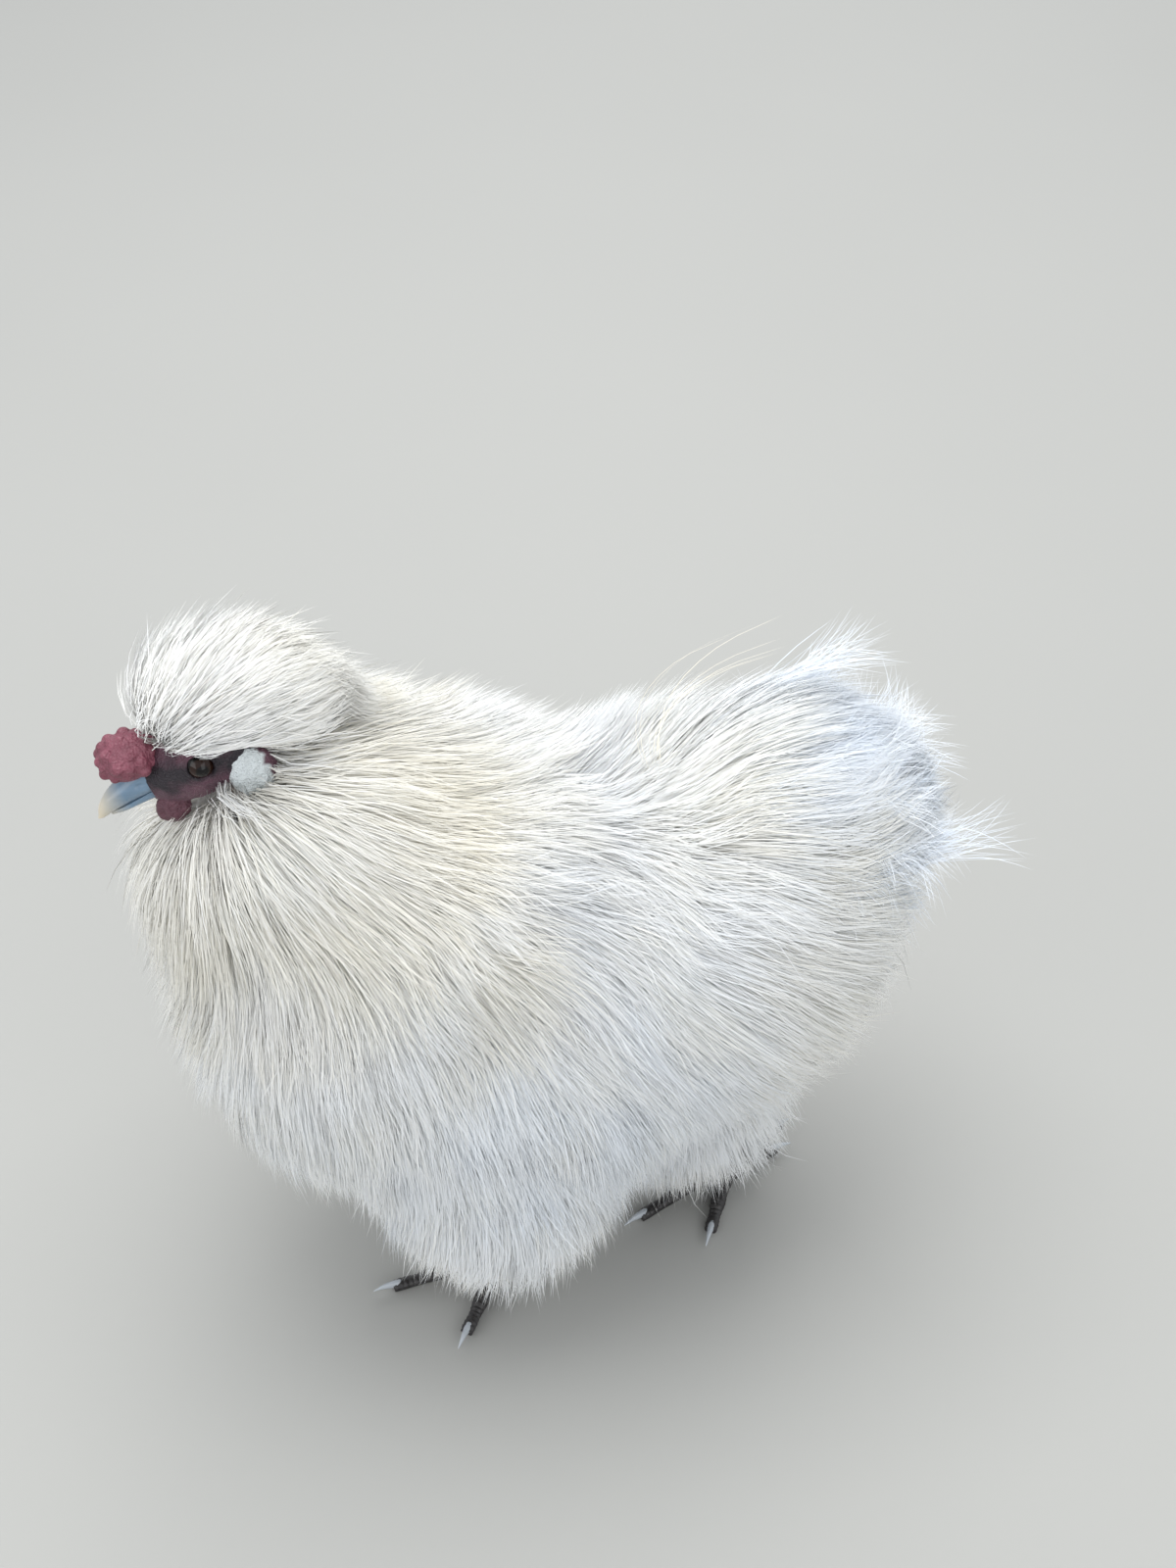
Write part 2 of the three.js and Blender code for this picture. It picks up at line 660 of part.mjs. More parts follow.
function clawSolid(leg, toe, grow = 0) {
  const { ahead, at } = toeLine(leg, toe);
  const stations = [];
  for (let i = 0; i <= 4; i++) {
    const s = i / 4;
    const climbing = HIGH_TOE + toe.rise * 0.86 + 9 * s - 3 * s * s;
    const level = 3.1 + 1.6 * Math.sin(Math.PI * 0.8 * s) - 2 * s;
    const reach = CLAW_LENGTH * (toe.rise ? 0.6 : 1) * s;
    const point = at(toe.length - CLAW_ROOT + reach, toe.rise ? climbing : level);
    const radius = CLAW_RADIUS * (1 - 0.86 * s);
    stations.push([point.x, point.y, point.z, radius * 0.8, radius]);
  }
  return loft(stations, 5, grow, ahead.clone().cross(new THREE.Vector3(0, 0, 1)));
}

function buildLegs() {
  const floor = solidOf(new THREE.BoxGeometry(600, 400, 60), new THREE.Matrix4().makeTranslation(0, 0, -30));
  for (const [name, leg] of Object.entries(legs)) {
    const [x, y] = leg.foot;
    const pad = form([x, y, TOE_RADIUS + 0.6], PAD_HALF);
    const toes = TOES.map((toe) => toeSolid(leg, toe));
    const clawCuts = TOES.map((toe) => clawSolid(leg, toe, GAP));
    addNode("foot_" + name, cutBy(union([solidForm(pad, 8, 6), ...toes]), [floor, ...clawCuts]), scale);
    for (const toe of TOES)
      addNode(`claw_${name}_${toe.name}`, clawSolid(leg, toe).subtract(floor), clawHorn);
    const footCuts = [solidForm(grown(pad, GAP), 8, 6), ...TOES.map((toe) => toeSolid(leg, toe, GAP))];
    addNode("shank_" + name, cutBy(shank(leg), footCuts), scale);
  }
}

const headCut = buildHead();
buildPlumage(headCut);
buildLegs();

// The origin is the middle of the bird's bounding box, on the floor.
const box = new THREE.Box3().setFromObject(bird);
const middle = box.getCenter(new THREE.Vector3());
bird.position.set(-middle.x, -middle.y, -box.min.z);

export default bird;
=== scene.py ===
import math
from dataclasses import dataclass

import bpy
import numpy as np
from bpy.props import FloatProperty, FloatVectorProperty, IntProperty, PointerProperty
from mathutils import Matrix, Vector, noise


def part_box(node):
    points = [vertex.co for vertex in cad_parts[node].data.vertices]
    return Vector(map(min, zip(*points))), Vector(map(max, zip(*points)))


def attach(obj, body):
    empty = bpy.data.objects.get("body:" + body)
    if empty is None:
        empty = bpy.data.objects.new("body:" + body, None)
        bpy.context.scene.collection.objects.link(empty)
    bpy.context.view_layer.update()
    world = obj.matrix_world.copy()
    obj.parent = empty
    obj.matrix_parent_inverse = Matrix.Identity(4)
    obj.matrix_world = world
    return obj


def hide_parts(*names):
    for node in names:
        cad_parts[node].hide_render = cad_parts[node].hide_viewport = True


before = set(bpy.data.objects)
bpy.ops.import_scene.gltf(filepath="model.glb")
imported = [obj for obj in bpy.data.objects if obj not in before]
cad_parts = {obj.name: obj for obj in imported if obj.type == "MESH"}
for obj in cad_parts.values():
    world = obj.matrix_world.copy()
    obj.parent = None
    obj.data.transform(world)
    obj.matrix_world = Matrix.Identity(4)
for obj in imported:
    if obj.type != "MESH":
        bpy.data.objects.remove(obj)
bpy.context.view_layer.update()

bl_info = {
    "name": "Silkie cock",
    "version": (1, 0, 0),
    "blender": (4, 5, 0),
    "location": "3D View > Sidebar > Silkie",
    "description": "Dresses a life-size silkie cock with skin, silky plumage, head parts and feet",
    "category": "Add Mesh",
}

MM = 0.001

# Named sizes of the bird, in millimetres and degrees.
# X runs to the bill, Y to the bird's left and Z up from the soles.
HEAD_AT = (110, 2, 290)
HEAD_PITCH = -20
HEAD_YAW = 5
SKULL_LONG = 44
SKULL_WIDE = 31
SKULL_HIGH = 33
BILL_LENGTH = 27
BILL_BASE = 0.38 * SKULL_LONG
MOUTH_PITCH = 10
MOUTH_DROP = 2.4
MOUTH_GAP = 0.15  # from the line of the mouth to each half of the bill
NOSTRIL_AT = (6.5, 2.2)  # ahead of the bill's base, and up
NOSTRIL_HALF = (2.0, 1.0)
NOSTRIL_DEPTH = 0.22  # as a share of the bill's width
EYE_AT = (-1, 12.2, 4.5)
EYE_RADIUS = 5.6
CORNEA_FROM = 0.75  # share of the radius, outwards, at which the cornea starts
CORNEA_BULGE = 0.5
IRIS = (0.6, 0.93)  # shares of the radius, outwards, between which it lies
LID_RADIUS = 5.2
OUTER_LID_RADIUS = 8.0
SOCKET_RADIUS = 4.1
SOCKET_DEPTH = 3.2
COMB_AT = (22, 0, 12.5)
COMB_HALF = (11, 10, 8.5)
COMB_PITCH = 8
# Rows of bulbs on the comb: the angle from its top and the number of bulbs.
BULB_ROWS = ((0, 1), (26, 5), (50, 9), (76, 12), (102, 11))
BULB_RADIUS = 4
BULB_SHARES = (0.42, 0.72)  # of that radius, from the smallest bulb to the largest
BULB_INSET = 0.8
COMB_SEED = 5
LOBE_AT = (-16, 14, -8.5)
LOBE_HALF = (9, 3.4, 10.5)
LOBE_PITCH = 20
WATTLE_AT = (17, 5.4, -13.5)
WATTLE_HALF = (6.2, 3.2, 7.4)
WATTLE_PITCH = 10
SHANK_RADIUS = 5.2
TOE_RADIUS = 4.4
FLOOR_FLAT = 0.9
HIGH_TOE_FROM = 8  # height at which the fifth toe leaves the foot
SCUTE_HEIGHT = 0.55
SCUTE_SINK = 0.2  # how far the grooves between scutes lie below the leg's radius
TOE_SCUTE = 2.3
SHANK_SCUTE = 4.2
CLAW_LENGTH = 12
CLAW_RADIUS = 2.2
LEGS = {
    "left": {"side": 1, "foot": (7, 28), "hock": (-4, 38, 76), "turn": 4},
    "right": {"side": -1, "foot": (-104, -1), "hock": (-84, -22, 80), "turn": 22},
}
TOES = {
    "hallux": {"angle": 172, "length": 24, "rise": 0},
    "inner": {"angle": 40, "length": 38, "rise": 0},
    "middle": {"angle": 0, "length": 50, "rise": 0},
    "outer": {"angle": -52, "length": 42, "rise": 0},
    "extra": {"angle": 150, "length": 22, "rise": 22},
}
SIDES = {"left": 1, "right": -1}


# Places and forms


def turned(pitch=0.0, yaw=0.0):
    """The rotation that lifts the front end by pitch and then turns it to the left by yaw, in degrees."""
    lift = Matrix.Rotation(math.radians(-pitch), 3, "Y")
    return np.array(Matrix.Rotation(math.radians(yaw), 3, "Z") @ lift)


HEAD_TURN = turned(HEAD_PITCH, HEAD_YAW)


def on_head(points):
    """Points of the head's own frame, in the bird's frame."""
    return np.asarray(points, float) @ HEAD_TURN.T + np.array(HEAD_AT)


def box_middle(node):
    """The middle of a node's box in the frame, in millimetres."""
    low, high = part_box(node)
    return (np.array(low) + np.array(high)) / (2 * MM)


# The frame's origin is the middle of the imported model's box, and an eye shows where that is on the bird.
SHIFT = box_middle("eye_left") - on_head(EYE_AT)


def to_row(points):
    """Millimetres on the bird to metres in the frame."""
    return (np.asarray(points, float) + SHIFT) * MM


def unit(vectors):
    """The vectors at a length of one."""
    return vectors / np.maximum(np.linalg.norm(vectors, axis=-1, keepdims=True), 1e-9)


class Form:
    """An ellipsoid with a centre, half sizes and a turn."""

    def __init__(self, centre, half, pitch=0.0, yaw=0.0, turn=None):
        self.centre = np.array(centre, float)
        self.half = np.array(half, float)
        self.turn = turned(pitch, yaw) if turn is None else turn

    def surface(self, directions):
        """Surface points and outward normals for directions in the form's own frame."""
        points = self.centre + (directions * self.half) @ self.turn.T
        return points, unit((directions / self.half) @ self.turn.T)

    def holds(self, points):
        local = (points - self.centre) @ self.turn
        return np.linalg.norm(local / self.half, axis=-1) < 1

    def height(self, points):
        """The distance over the surface, near enough, and the outward direction there."""
        local = (points - self.centre) @ self.turn
        far = np.linalg.norm(local / self.half, axis=-1, keepdims=True)
        slope = local / self.half**2
        steep = np.maximum(np.linalg.norm(slope, axis=-1, keepdims=True), 1e-6)
        return (far * (far - 1) / steep)[..., 0], (slope / steep) @ self.turn.T

    def inset(self, depth):
        return Form(self.centre, self.half - depth, turn=self.turn)

    def unwrap(self, points):
        """Where points lie on the form's own unwrap, from 0 to 1 round it and down it."""
        local = (points - self.centre) @ self.turn / self.half
        down = np.arccos(np.clip(unit(local)[..., 2], -1, 1)) / math.pi
        return np.stack([np.arctan2(local[..., 1], local[..., 0]) / (2 * math.pi) + 0.5, down], -1)


def head_form(centre, half, pitch=0.0):
    return Form(on_head(centre), half, turn=HEAD_TURN @ turned(pitch))


TORSO = Form((-4, 0, 150), (108, 82, 80))
BREAST = Form((60, 0, 168), (60, 68, 80))
CAPE = Form((18, 0, 212), (62, 70, 48))
RUMP = Form((-77, 0, 173), (75, 74, 68), pitch=24)
NECK = Form((74, 0, 238), (61, 52, 55))
CREST = Form((99, 1, 308), (37, 25, 25), yaw=HEAD_YAW)
TAIL = Form((-106, 0, 210), (54, 41, 44), pitch=8)
THIGHS = {
    "left": Form((10, 50, 84), (38, 28, 46)),
    "right": Form((-81, 0, 66), (38, 32, 45)),
}
SKIN_DEPTH = 17  # how far the skin lies inside the body's forms
THIGH_SKIN_DEPTH = 13
POLE_GAP = 0.06  # radians left open at the poles of a ball of rings
# Small forms that carry the skin on under the crest: half sizes, and a middle on the head.
CREST_SKIN_HALF = (22, 13, 11)
NAPE_SKIN_AT = (-14, 0, 0)
NAPE_SKIN_HALF = (18, 10, 13)
SKIN_WRAP = (3.0, 12)  # size of the mesh that wraps forms, and the times it is smoothed
COMB_WRAP = (0.55, 3)


# Materials


class Value:
    """A socket that carries a number. Arithmetic on it adds Math nodes to its material."""

    def __init__(self, finish, socket):
        self.finish = finish
        self.socket = socket

    def math(self, operation, *values):
        return self.finish.node("ShaderNodeMath", {"operation": operation}, dict(enumerate(values)))[0]

    def __add__(self, other):
        return self.math("ADD", self, other)

    def __sub__(self, other):
        return self.math("SUBTRACT", self, other)

    def __rsub__(self, other):
        return self.math("SUBTRACT", other, self)

    def __mul__(self, other):
        return self.math("MULTIPLY", self, other)

    __radd__ = __add__
    __rmul__ = __mul__

    def clamped(self):
        return self.math("MINIMUM", self.math("MAXIMUM", self, 0.0), 1.0)


class Outputs:
    """A node's outputs, each as a Value, by name or number."""

    def __init__(self, finish, node):
        self.finish = finish
        self.node = node

    def __getitem__(self, key):
        return Value(self.finish, self.node.outputs[key])


class Finish:
    """A material, made node by node around one Principled shader."""

    def __init__(self, name, **constants):
        self.material = bpy.data.materials.new(name)
        self.material.use_nodes = True
        self.tree = self.material.node_tree
        self.shader = self.tree.nodes["Principled BSDF"]
        for socket, value in constants.items():
            self.shader.inputs[socket.replace("_", " ")].default_value = value

    def node(self, kind, settings, inputs):
        made = self.tree.nodes.new(kind)
        for name, value in settings.items():
            setattr(made, name, value)
        for name, value in inputs.items():
            self.feed(made.inputs[name], value)
        return Outputs(self, made)

    def feed(self, socket, value):
        if isinstance(value, Value):
            self.tree.links.new(value.socket, socket)
        else:
            socket.default_value = value

    def attribute(self, name):
        return self.node("ShaderNodeAttribute", {"attribute_name": name}, {})["Fac"]

    def noise(self, scale, detail=3.0, stretch=None):
        place = self.node("ShaderNodeTexCoord", {}, {})["Object"]
        if stretch:
            place = self.node("ShaderNodeVectorMath", {"operation": "MULTIPLY"}, {0: place, 1: stretch})[0]
        grain = self.node("ShaderNodeTexNoise", {}, {"Vector": place, "Scale": scale, "Detail": detail})
        return grain["Fac"]

    def cells(self, scale):
        place = self.node("ShaderNodeTexCoord", {}, {})["Object"]
        return self.node("ShaderNodeTexVoronoi", {}, {"Vector": place, "Scale": scale})["Distance"]

    def mix(self, factor, first, second):
        first, second = (c if isinstance(c, Value) else (*c[:3], 1) for c in (first, second))
        inputs = {0: factor, 6: first, 7: second}
        return self.node("ShaderNodeMix", {"data_type": "RGBA"}, inputs)[2]

    def colour(self, value):
        self.feed(self.shader.inputs["Base Color"], value)

    def rough(self, value):
        self.feed(self.shader.inputs["Roughness"], value)

    def bump(self, height, distance, strength=1.0):
        inputs = {"Height": height, "Distance": distance, "Strength": strength}
        self.feed(self.shader.inputs["Normal"], self.node("ShaderNodeBump", {}, inputs)["Normal"])


def toned(colour, share):
    """A darker or lighter colour of the same tint."""
    return [share * c for c in colour]


def plumage_finish(colours):
    finish = Finish("silky plumage", Roughness=0.55, Sheen_Weight=0.25, Sheen_Roughness=0.5)
    shade = finish.attribute("shade")
    # Painted light: the cool tint is the bluish cast of skylight on the white coat, strongest on the tail
    # and flanks.
    white = finish.mix(finish.attribute("cool"), colours.white, colours.cool)
    white = finish.mix(finish.attribute("cream"), white, colours.cream)
    # Painted shade with random mottling: strands darken towards the shadow colour at their roots and in low
    # locks.
    mottle_and_shade = (finish.noise(38) - 0.5) * 0.5 + shade
    finish.colour(finish.mix(mottle_and_shade.clamped(), white, colours.shadow))
    return finish.material


def skin_finish(colours):
    finish = Finish("pale skin", Roughness=0.6)
    blotch = finish.noise(60, 4)
    finish.colour(finish.mix(blotch, colours.skin, toned(colours.skin, 0.8)))
    finish.bump(finish.cells(500), 0.0004, 0.4)
    return finish.material


def face_finish(colours):
    finish = Finish("mulberry face skin", Roughness=0.5)
    blotch = finish.noise(110, 5)
    stripe = finish.attribute("stripe")
    dark = finish.mix((blotch * 1.8 - 0.6 + stripe).clamped(), colours.face, colours.face_dark)
    red = (finish.noise(45, 2) * 4 - 2.2 - stripe).clamped()
    finish.colour(finish.mix(red * 0.55, dark, colours.comb))
    finish.bump(finish.cells(1400) + finish.noise(420, 4), 0.0006, 0.7)
    finish.rough(blotch * 0.25 + 0.35)
    return finish.material


def comb_finish(name, colour):
    finish = Finish(name, Roughness=0.5)
    blotch = finish.noise(160, 5)
    pit = finish.cells(900)
    base = finish.mix((blotch * 1.6 - 0.35).clamped(), colour, toned(colour, 0.45))
    # Painted shade: the colour darkens in the pits of the bump, where shade falls.
    finish.colour(finish.mix((pit * 1.5).clamped(), toned(colour, 0.7), base))
    finish.bump(pit + finish.noise(600, 3) * 0.5, 0.0007, 0.8)
    finish.rough(blotch * 0.3 + 0.35)
    return finish.material


def lobe_finish(colours):
    finish = Finish("blue-white lobe", Roughness=0.45)
    blotch = finish.noise(200, 4)
    pale = finish.mix((blotch * 2 - 0.6).clamped(), colours.lobe, toned(colours.lobe, 0.78))
    finish.colour(finish.mix(finish.attribute("rim"), pale, toned(colours.face, 0.8)))
    finish.bump(finish.cells(1100) + finish.noise(500, 3), 0.0008, 0.8)
    return finish.material


def bill_finish(colours):
    finish = Finish("slate-blue bill", Roughness=0.3, Coat_Weight=0.15)
    tip = finish.attribute("tip")
    streak = finish.noise(90, 4, (0.35, 3.0, 3.0))
    body = finish.mix((streak * 1.6 - 0.3).clamped(), colours.bill, toned(colours.bill, 0.6))
    finish.colour(finish.mix(tip, body, colours.bill_tip))
    finish.bump(streak, 0.0002, 0.4)
    return finish.material


def eye_finish():
    finish = Finish("dark eye", Roughness=0.1, Specular_IOR_Level=0.3)
    ring = finish.attribute("iris")
    finish.colour(finish.mix(ring, (0.002, 0.0015, 0.0015), (0.02, 0.008, 0.005)))
    return finish.material


def leg_finish(colours):
    finish = Finish("slate scales", Roughness=0.5)
    groove = finish.attribute("groove")
    blotch = finish.noise(130, 5)
    plate = finish.mix((blotch * 1.8 - 0.5).clamped(), colours.leg, toned(colours.leg, 1.9))
    finish.colour(finish.mix(groove, plate, toned(colours.leg, 0.35)))
    finish.bump(finish.cells(1000), 0.0003, 0.6)
    finish.rough(blotch * 0.3 + 0.3)
    return finish.material


def claw_finish(colours):
    finish = Finish("pale claw horn", Roughness=0.35)
    streak = finish.noise(150, 4)
    tip = finish.attribute("tip")
    body = finish.mix(streak, colours.claw, toned(colours.claw, 0.6))
    finish.colour(finish.mix(tip, body, colours.claw))
    finish.bump(streak, 0.0002, 0.3)
    return finish.material


# Meshes


def add_piece(name, points, faces, material, nodes=(), attributes=None):
    """A closed piece from millimetre points, riding on the body and standing for the named nodes."""
    mesh = bpy.data.meshes.new(name)
    mesh.from_pydata(to_row(points).tolist(), [], faces)
    for key, values in (attributes or {}).items():
        mesh.attributes.new(key, "FLOAT", "POINT").data.foreach_set("value", np.asarray(values, np.float32))
    mesh.polygons.foreach_set("use_smooth", [True] * len(mesh.polygons))
    return dress(name, mesh, material, nodes)


def dress(name, mesh, material, nodes=()):
    """An object of the mesh, with its material, that rides on the body and stands for the named nodes."""
    mesh.materials.append(material)
    piece = bpy.data.objects.new(name, mesh)
    bpy.context.scene.collection.objects.link(piece)
    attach(piece, "root")
    if nodes:
        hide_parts(*nodes)
    return piece


def closed_rings(rings):
    """Points and faces of a closed skin over rings of points, with a pole at either end."""
    count, sides, _ = rings.shape
    points = np.vstack([rings.reshape(-1, 3), rings[0].mean(0), rings[-1].mean(0)])
    faces = []
    for i in range(count - 1):
        for k in range(sides):
            a, b = i * sides + k, i * sides + (k + 1) % sides
            faces.append((a, b, b + sides, a + sides))
    start, end = count * sides, count * sides + 1
    last = (count - 1) * sides
    for k in range(sides):
        faces.append((start, (k + 1) % sides, k))
        faces.append((end, last + k, last + (k + 1) % sides))
    return points, faces


def joined(parts):
    """Points and faces of several closed skins, one after another."""
    points, faces = [], []
    for rings in parts:
        part_points, part_faces = closed_rings(rings)
        faces += [tuple(len(points) + i for i in face) for face in part_faces]
        points += part_points.tolist()
    return points, faces


def eased(xs, ys, x):
    """A smooth curve through a few stations, as a Catmull-Rom spline read at x."""
    xs, ys = np.asarray(xs, float), np.asarray(ys, float)
    slopes = np.gradient(ys, xs)
    i = np.clip(np.searchsorted(xs, x) - 1, 0, len(xs) - 2)
    step = xs[i + 1] - xs[i]
    t = (x - xs[i]) / step
    flat = (1 + 2 * t) * (1 - t) ** 2 * ys[i] + t * t * (3 - 2 * t) * ys[i + 1]
    return flat + step * (t * (1 - t) ** 2 * slopes[i] - t * t * (1 - t) * slopes[i + 1])


def wobble(points, size, amount, seed=0.0):
    """Smooth noise at each point, from -amount to amount."""
    return np.array([amount * noise.noise(Vector(p) / size + Vector((seed, 0, 0))) for p in points])


def ball_points(form, around, down):
    """Rings of an ellipsoid from its left pole to its right pole."""
    polar = np.linspace(POLE_GAP, math.pi - POLE_GAP, down)[:, None]
    turn = np.linspace(0, 2 * math.pi, around, endpoint=False)[None, :]
    rim = np.sin(polar)
    directions = np.stack([rim * np.cos(turn), np.cos(polar) + 0 * turn, rim * np.sin(turn)], -1)
    return form.surface(directions)


def remeshed(name, forms, voxel, smoothing):
    """One closed mesh that wraps overlapping ellipsoids."""
    mesh = bpy.data.meshes.new(name)
    points, faces = joined(ball_points(form, 40, 24)[0] for form in forms)
    mesh.from_pydata(to_row(points).tolist(), [], faces)
    source = bpy.data.objects.new(name + "_source", mesh)
    bpy.context.scene.collection.objects.link(source)
    wrap = source.modifiers.new("wrap", "REMESH")
    wrap.mode = "VOXEL"
    wrap.voxel_size = voxel * MM
    soften = source.modifiers.new("soften", "SMOOTH")
    soften.factor = 0.6
    soften.iterations = smoothing
    bpy.context.view_layer.update()
    graph = bpy.context.evaluated_depsgraph_get()
    made = bpy.data.meshes.new_from_object(source.evaluated_get(graph))
    made.name = name
    bpy.data.objects.remove(source)
    bpy.data.meshes.remove(mesh)
    made.polygons.foreach_set("use_smooth", [True] * len(made.polygons))
    return made


# Plumage


@dataclass
class Growth:
    """The coat on one form. It fans out from a source and drifts one way.

    Run is how far its strands go along the body, and reach how far their tips stand off it.
    """

    form: Form
    source: tuple
    fan: float
    drift: tuple
    run: float
    reach: float
    cream: float = 0.0
    cool: float = 0.0


BLEND = 9  # how softly the forms run together
SINK = 17  # how deep the strands root
BRUSH_WIDTH = 0.36  # of the loose feathers' barbs
BRUSH_BASE = 2.6  # how far a barb's root strays from its shaft
BARBS = 44  # of each loose feather
SHORT_FEATHERS = 64
GROWTHS = {
    "crest": Growth(CREST, tuple(on_head((14, 0, 0))), 1.0, (-0.5, 0, 0), 34, 13, 0.1, 0.1),
    "hackle": Growth(NECK, tuple(on_head((4, 0, -6))), 1.0, (-0.4, 0, -0.35), 54, 17, 0.3, 0.05),
    "breast": Growth(BREAST, HEAD_AT, 0.35, (-0.3, 0, -0.9), 50, 16, 0.06, 0.2),
    "cape": Growth(CAPE, HEAD_AT, 0.5, (-0.5, 0, -0.45), 54, 16, 0.15, 0.2),
    "flank": Growth(TORSO, (10, 0, 200), 0.4, (-0.35, 0, -0.9), 52, 16, 0.0, 0.5),
    "saddle": Growth(RUMP, (-18, 0, 196), 1.0, (-0.4, 0.05, -0.5), 62, 20, 0.25, 0.15),
    "tail": Growth(TAIL, (-36, 0, 182), 1.3, (-0.3, 0, 0.1), 66, 26, 0.0, 0.9),
    "leg_left": Growth(THIGHS["left"], (10, 50, 100), 0.3, (-0.1, 0, -1), 44, 17, 0.1, 0.15),
    "leg_right": Growth(THIGHS["right"], (-82, -4, 90), 0.3, (-0.2, 0, -1), 46, 17, 0.1, 0.15),
}
BODY = [growth.form for growth in GROWTHS.values()]
PARTING = (-31, 0, 247)  # a bare spot on the back where the coat parts
PARTING_SIZE = 10
PARTING_DEPTH = 0.5
PARTING_PUSH = 0.7
PARTING_SPREAD = 1.7  # how much wider than the parting its push reaches
BARE = [head_form((36, 0, -4), (22, 11, 15)), head_form(COMB_AT, COMB_HALF)]
# Bare windows in the plumage at the face and the lobes, in the head's own frame: the middle and the half
# size, each along and up. They lie higher the further they are from the head's middle.
WINDOWS = (((10, -2.5), (25, 9.5)), ((-15, -7), (10.5, 11)))
WINDOW_RISE = 0.75
WINDOW_FROM = 5  # the least distance from the head's middle
# Cream spots of the coat: middle, size and strength. They are sun-tinted plumage; the third, low on the
# left of the neck, also darkens a patch there as painted shade.
CREAM_SPOTS = (
    ((69, 8, 308), 20, 0.5),
    ((48, 24, 272), 20, 0.3),
    # Painted shade: this spot also darkens the shaded lower hackle.
    ((34, 60, 236), 18, 0.4),
    ((-56, 10, 245), 24, 0.35),
)


def bare(points):
    """Whether points lie in the plumage's bare windows, at the face or over the parts of the bill."""
    x, y, z = np.moveaxis((points - np.array(HEAD_AT)) @ HEAD_TURN, -1, 0)
    sunk = z - WINDOW_RISE * np.maximum(np.abs(y) - EYE_AT[1], 0)
    found = np.any([form.holds(points) for form in BARE], 0)
    for (ahead, up), (long, high) in WINDOWS:
        found |= (((x - ahead) / long) ** 2 + ((sunk - up) / high) ** 2 < 1) & (np.abs(y) > WINDOW_FROM)
    return found


def nearness(points, middle, size):
    """How near points are to a middle, from 1 there to 0 far away."""
    return np.exp(-((np.linalg.norm(points - np.array(middle), axis=-1) / size) ** 2))


def merged(points):
    """The height over the body with its forms run together, the outward direction and each form's share."""
    heights, outs = zip(*(form.height(points) for form in BODY))
    heights, outs = np.stack(heights, -1), np.stack(outs, -2)
    low = heights.min(-1, keepdims=True)
    shares = np.exp((low - heights) / BLEND)
    total = shares.sum(-1, keepdims=True)
    shares = shares / total
    return (low - BLEND * np.log(total))[..., 0], unit((shares[..., None] * outs).sum(-2)), shares


def lifted(points, height):
    """Points moved out or in to a height over the body."""
    for _ in range(2):
        here, out, shares = merged(points)
        points = points + out * (height - here)[..., None]
    return points, out, shares


def lie(points, shares):
    """The way the coat runs at each point."""
    growths = GROWTHS.values()
    ways = np.stack([g.fan * unit(points - np.array(g.source)) + np.array(g.drift) for g in growths], -2)
    way = (shares[..., None] * ways).sum(-2)
    near = nearness(points, PARTING, PARTING_SPREAD * PARTING_SIZE)[..., None]
    return way + PARTING_PUSH * near * unit(points - np.array(PARTING))


def blended(shares, key):
    """A property of the growths, mixed by their shares."""
    return shares @ np.array([getattr(growth, key) for growth in GROWTHS.values()], float)


SWIRL_SEEDS = (21.0, 37.0, 53.0)  # one place in the noise for each direction, the same in every run


def swirl(points, size, amount):
    """Smooth noise as a direction at each point."""
    return np.stack([wobble(points, size, amount, seed) for seed in SWIRL_SEEDS], -1)


@dataclass
class Clumps:
    """Middle lines of clumps of strands, with the directions across, along and out at each step."""

    lines: np.ndarray
    across: np.ndarray
    along: np.ndarray
    out: np.ndarray
    shade: np.ndarray
    cream: np.ndarray
    cool: np.ndarray
    place: np.ndarray


def grow(roots, form, rng, steps=9, sink=SINK, lift=0.72):
    """Clumps from their roots, following the lie of the coat as they rise to its tips."""
    count = len(roots)
    points, out, shares = lifted(roots, np.full(count, -sink))
    # A lock is a patch of coat that stands up or lies low together.
    lock = wobble(points, 17, 1.0) + 0.5 * wobble(points, 7, 1.0, 3.0)
    parted = 1 - PARTING_DEPTH * nearness(points + out * sink, PARTING, PARTING_SIZE)
    reach = blended(shares, "reach") * (rng.uniform(0.72, 1.08, count) + 0.22 * lock) * parted
    run = blended(shares, "run") * rng.uniform(0.8, 1.1, count) * (0.4 + 0.6 * parted)
    bend = swirl(points, 26, 0.55) + swirl(points, 9, 0.35) + rng.normal(0, 0.1, (count, 3))
    spots = sum(strength * nearness(points, middle, size) for middle, size, strength in CREAM_SPOTS)
    cream = np.clip(blended(shares, "cream") + spots + 0.3 * wobble(points, 22, 1.0, 9.0), 0, 1)
    # Painted light: the bluish cast of skylight on the white coat, set by each growth and varied smoothly.
    cool = np.clip(blended(shares, "cool") + 0.2 * wobble(points, 20, 1.0, 5.0), 0, 1)
    # Painted light and shade: locks that stand up are made lighter and locks that lie low darker; the small
    # wobble is random tone.
    shade = np.clip(0.06 + 0.1 * wobble(points, 5, 1.0, 12.0) - 0.05 * lock, 0, 1)
    place = form.unwrap(points)
    track = []
    for step in range(steps):
        s = step / (steps - 1)
        points, out, shares = lifted(points, -sink + (reach + sink) * s**lift)
        way = lie(points, shares) + bend * (0.3 + s)
        way = unit(way - out * (way * out).sum(-1, keepdims=True))
        track.append((points, np.cross(out, way), way, out))
        points = points + way * (run / (steps - 1))[:, None]
    return Clumps(*(np.stack(kind, 1) for kind in zip(*track)), shade, cream, cool, place)


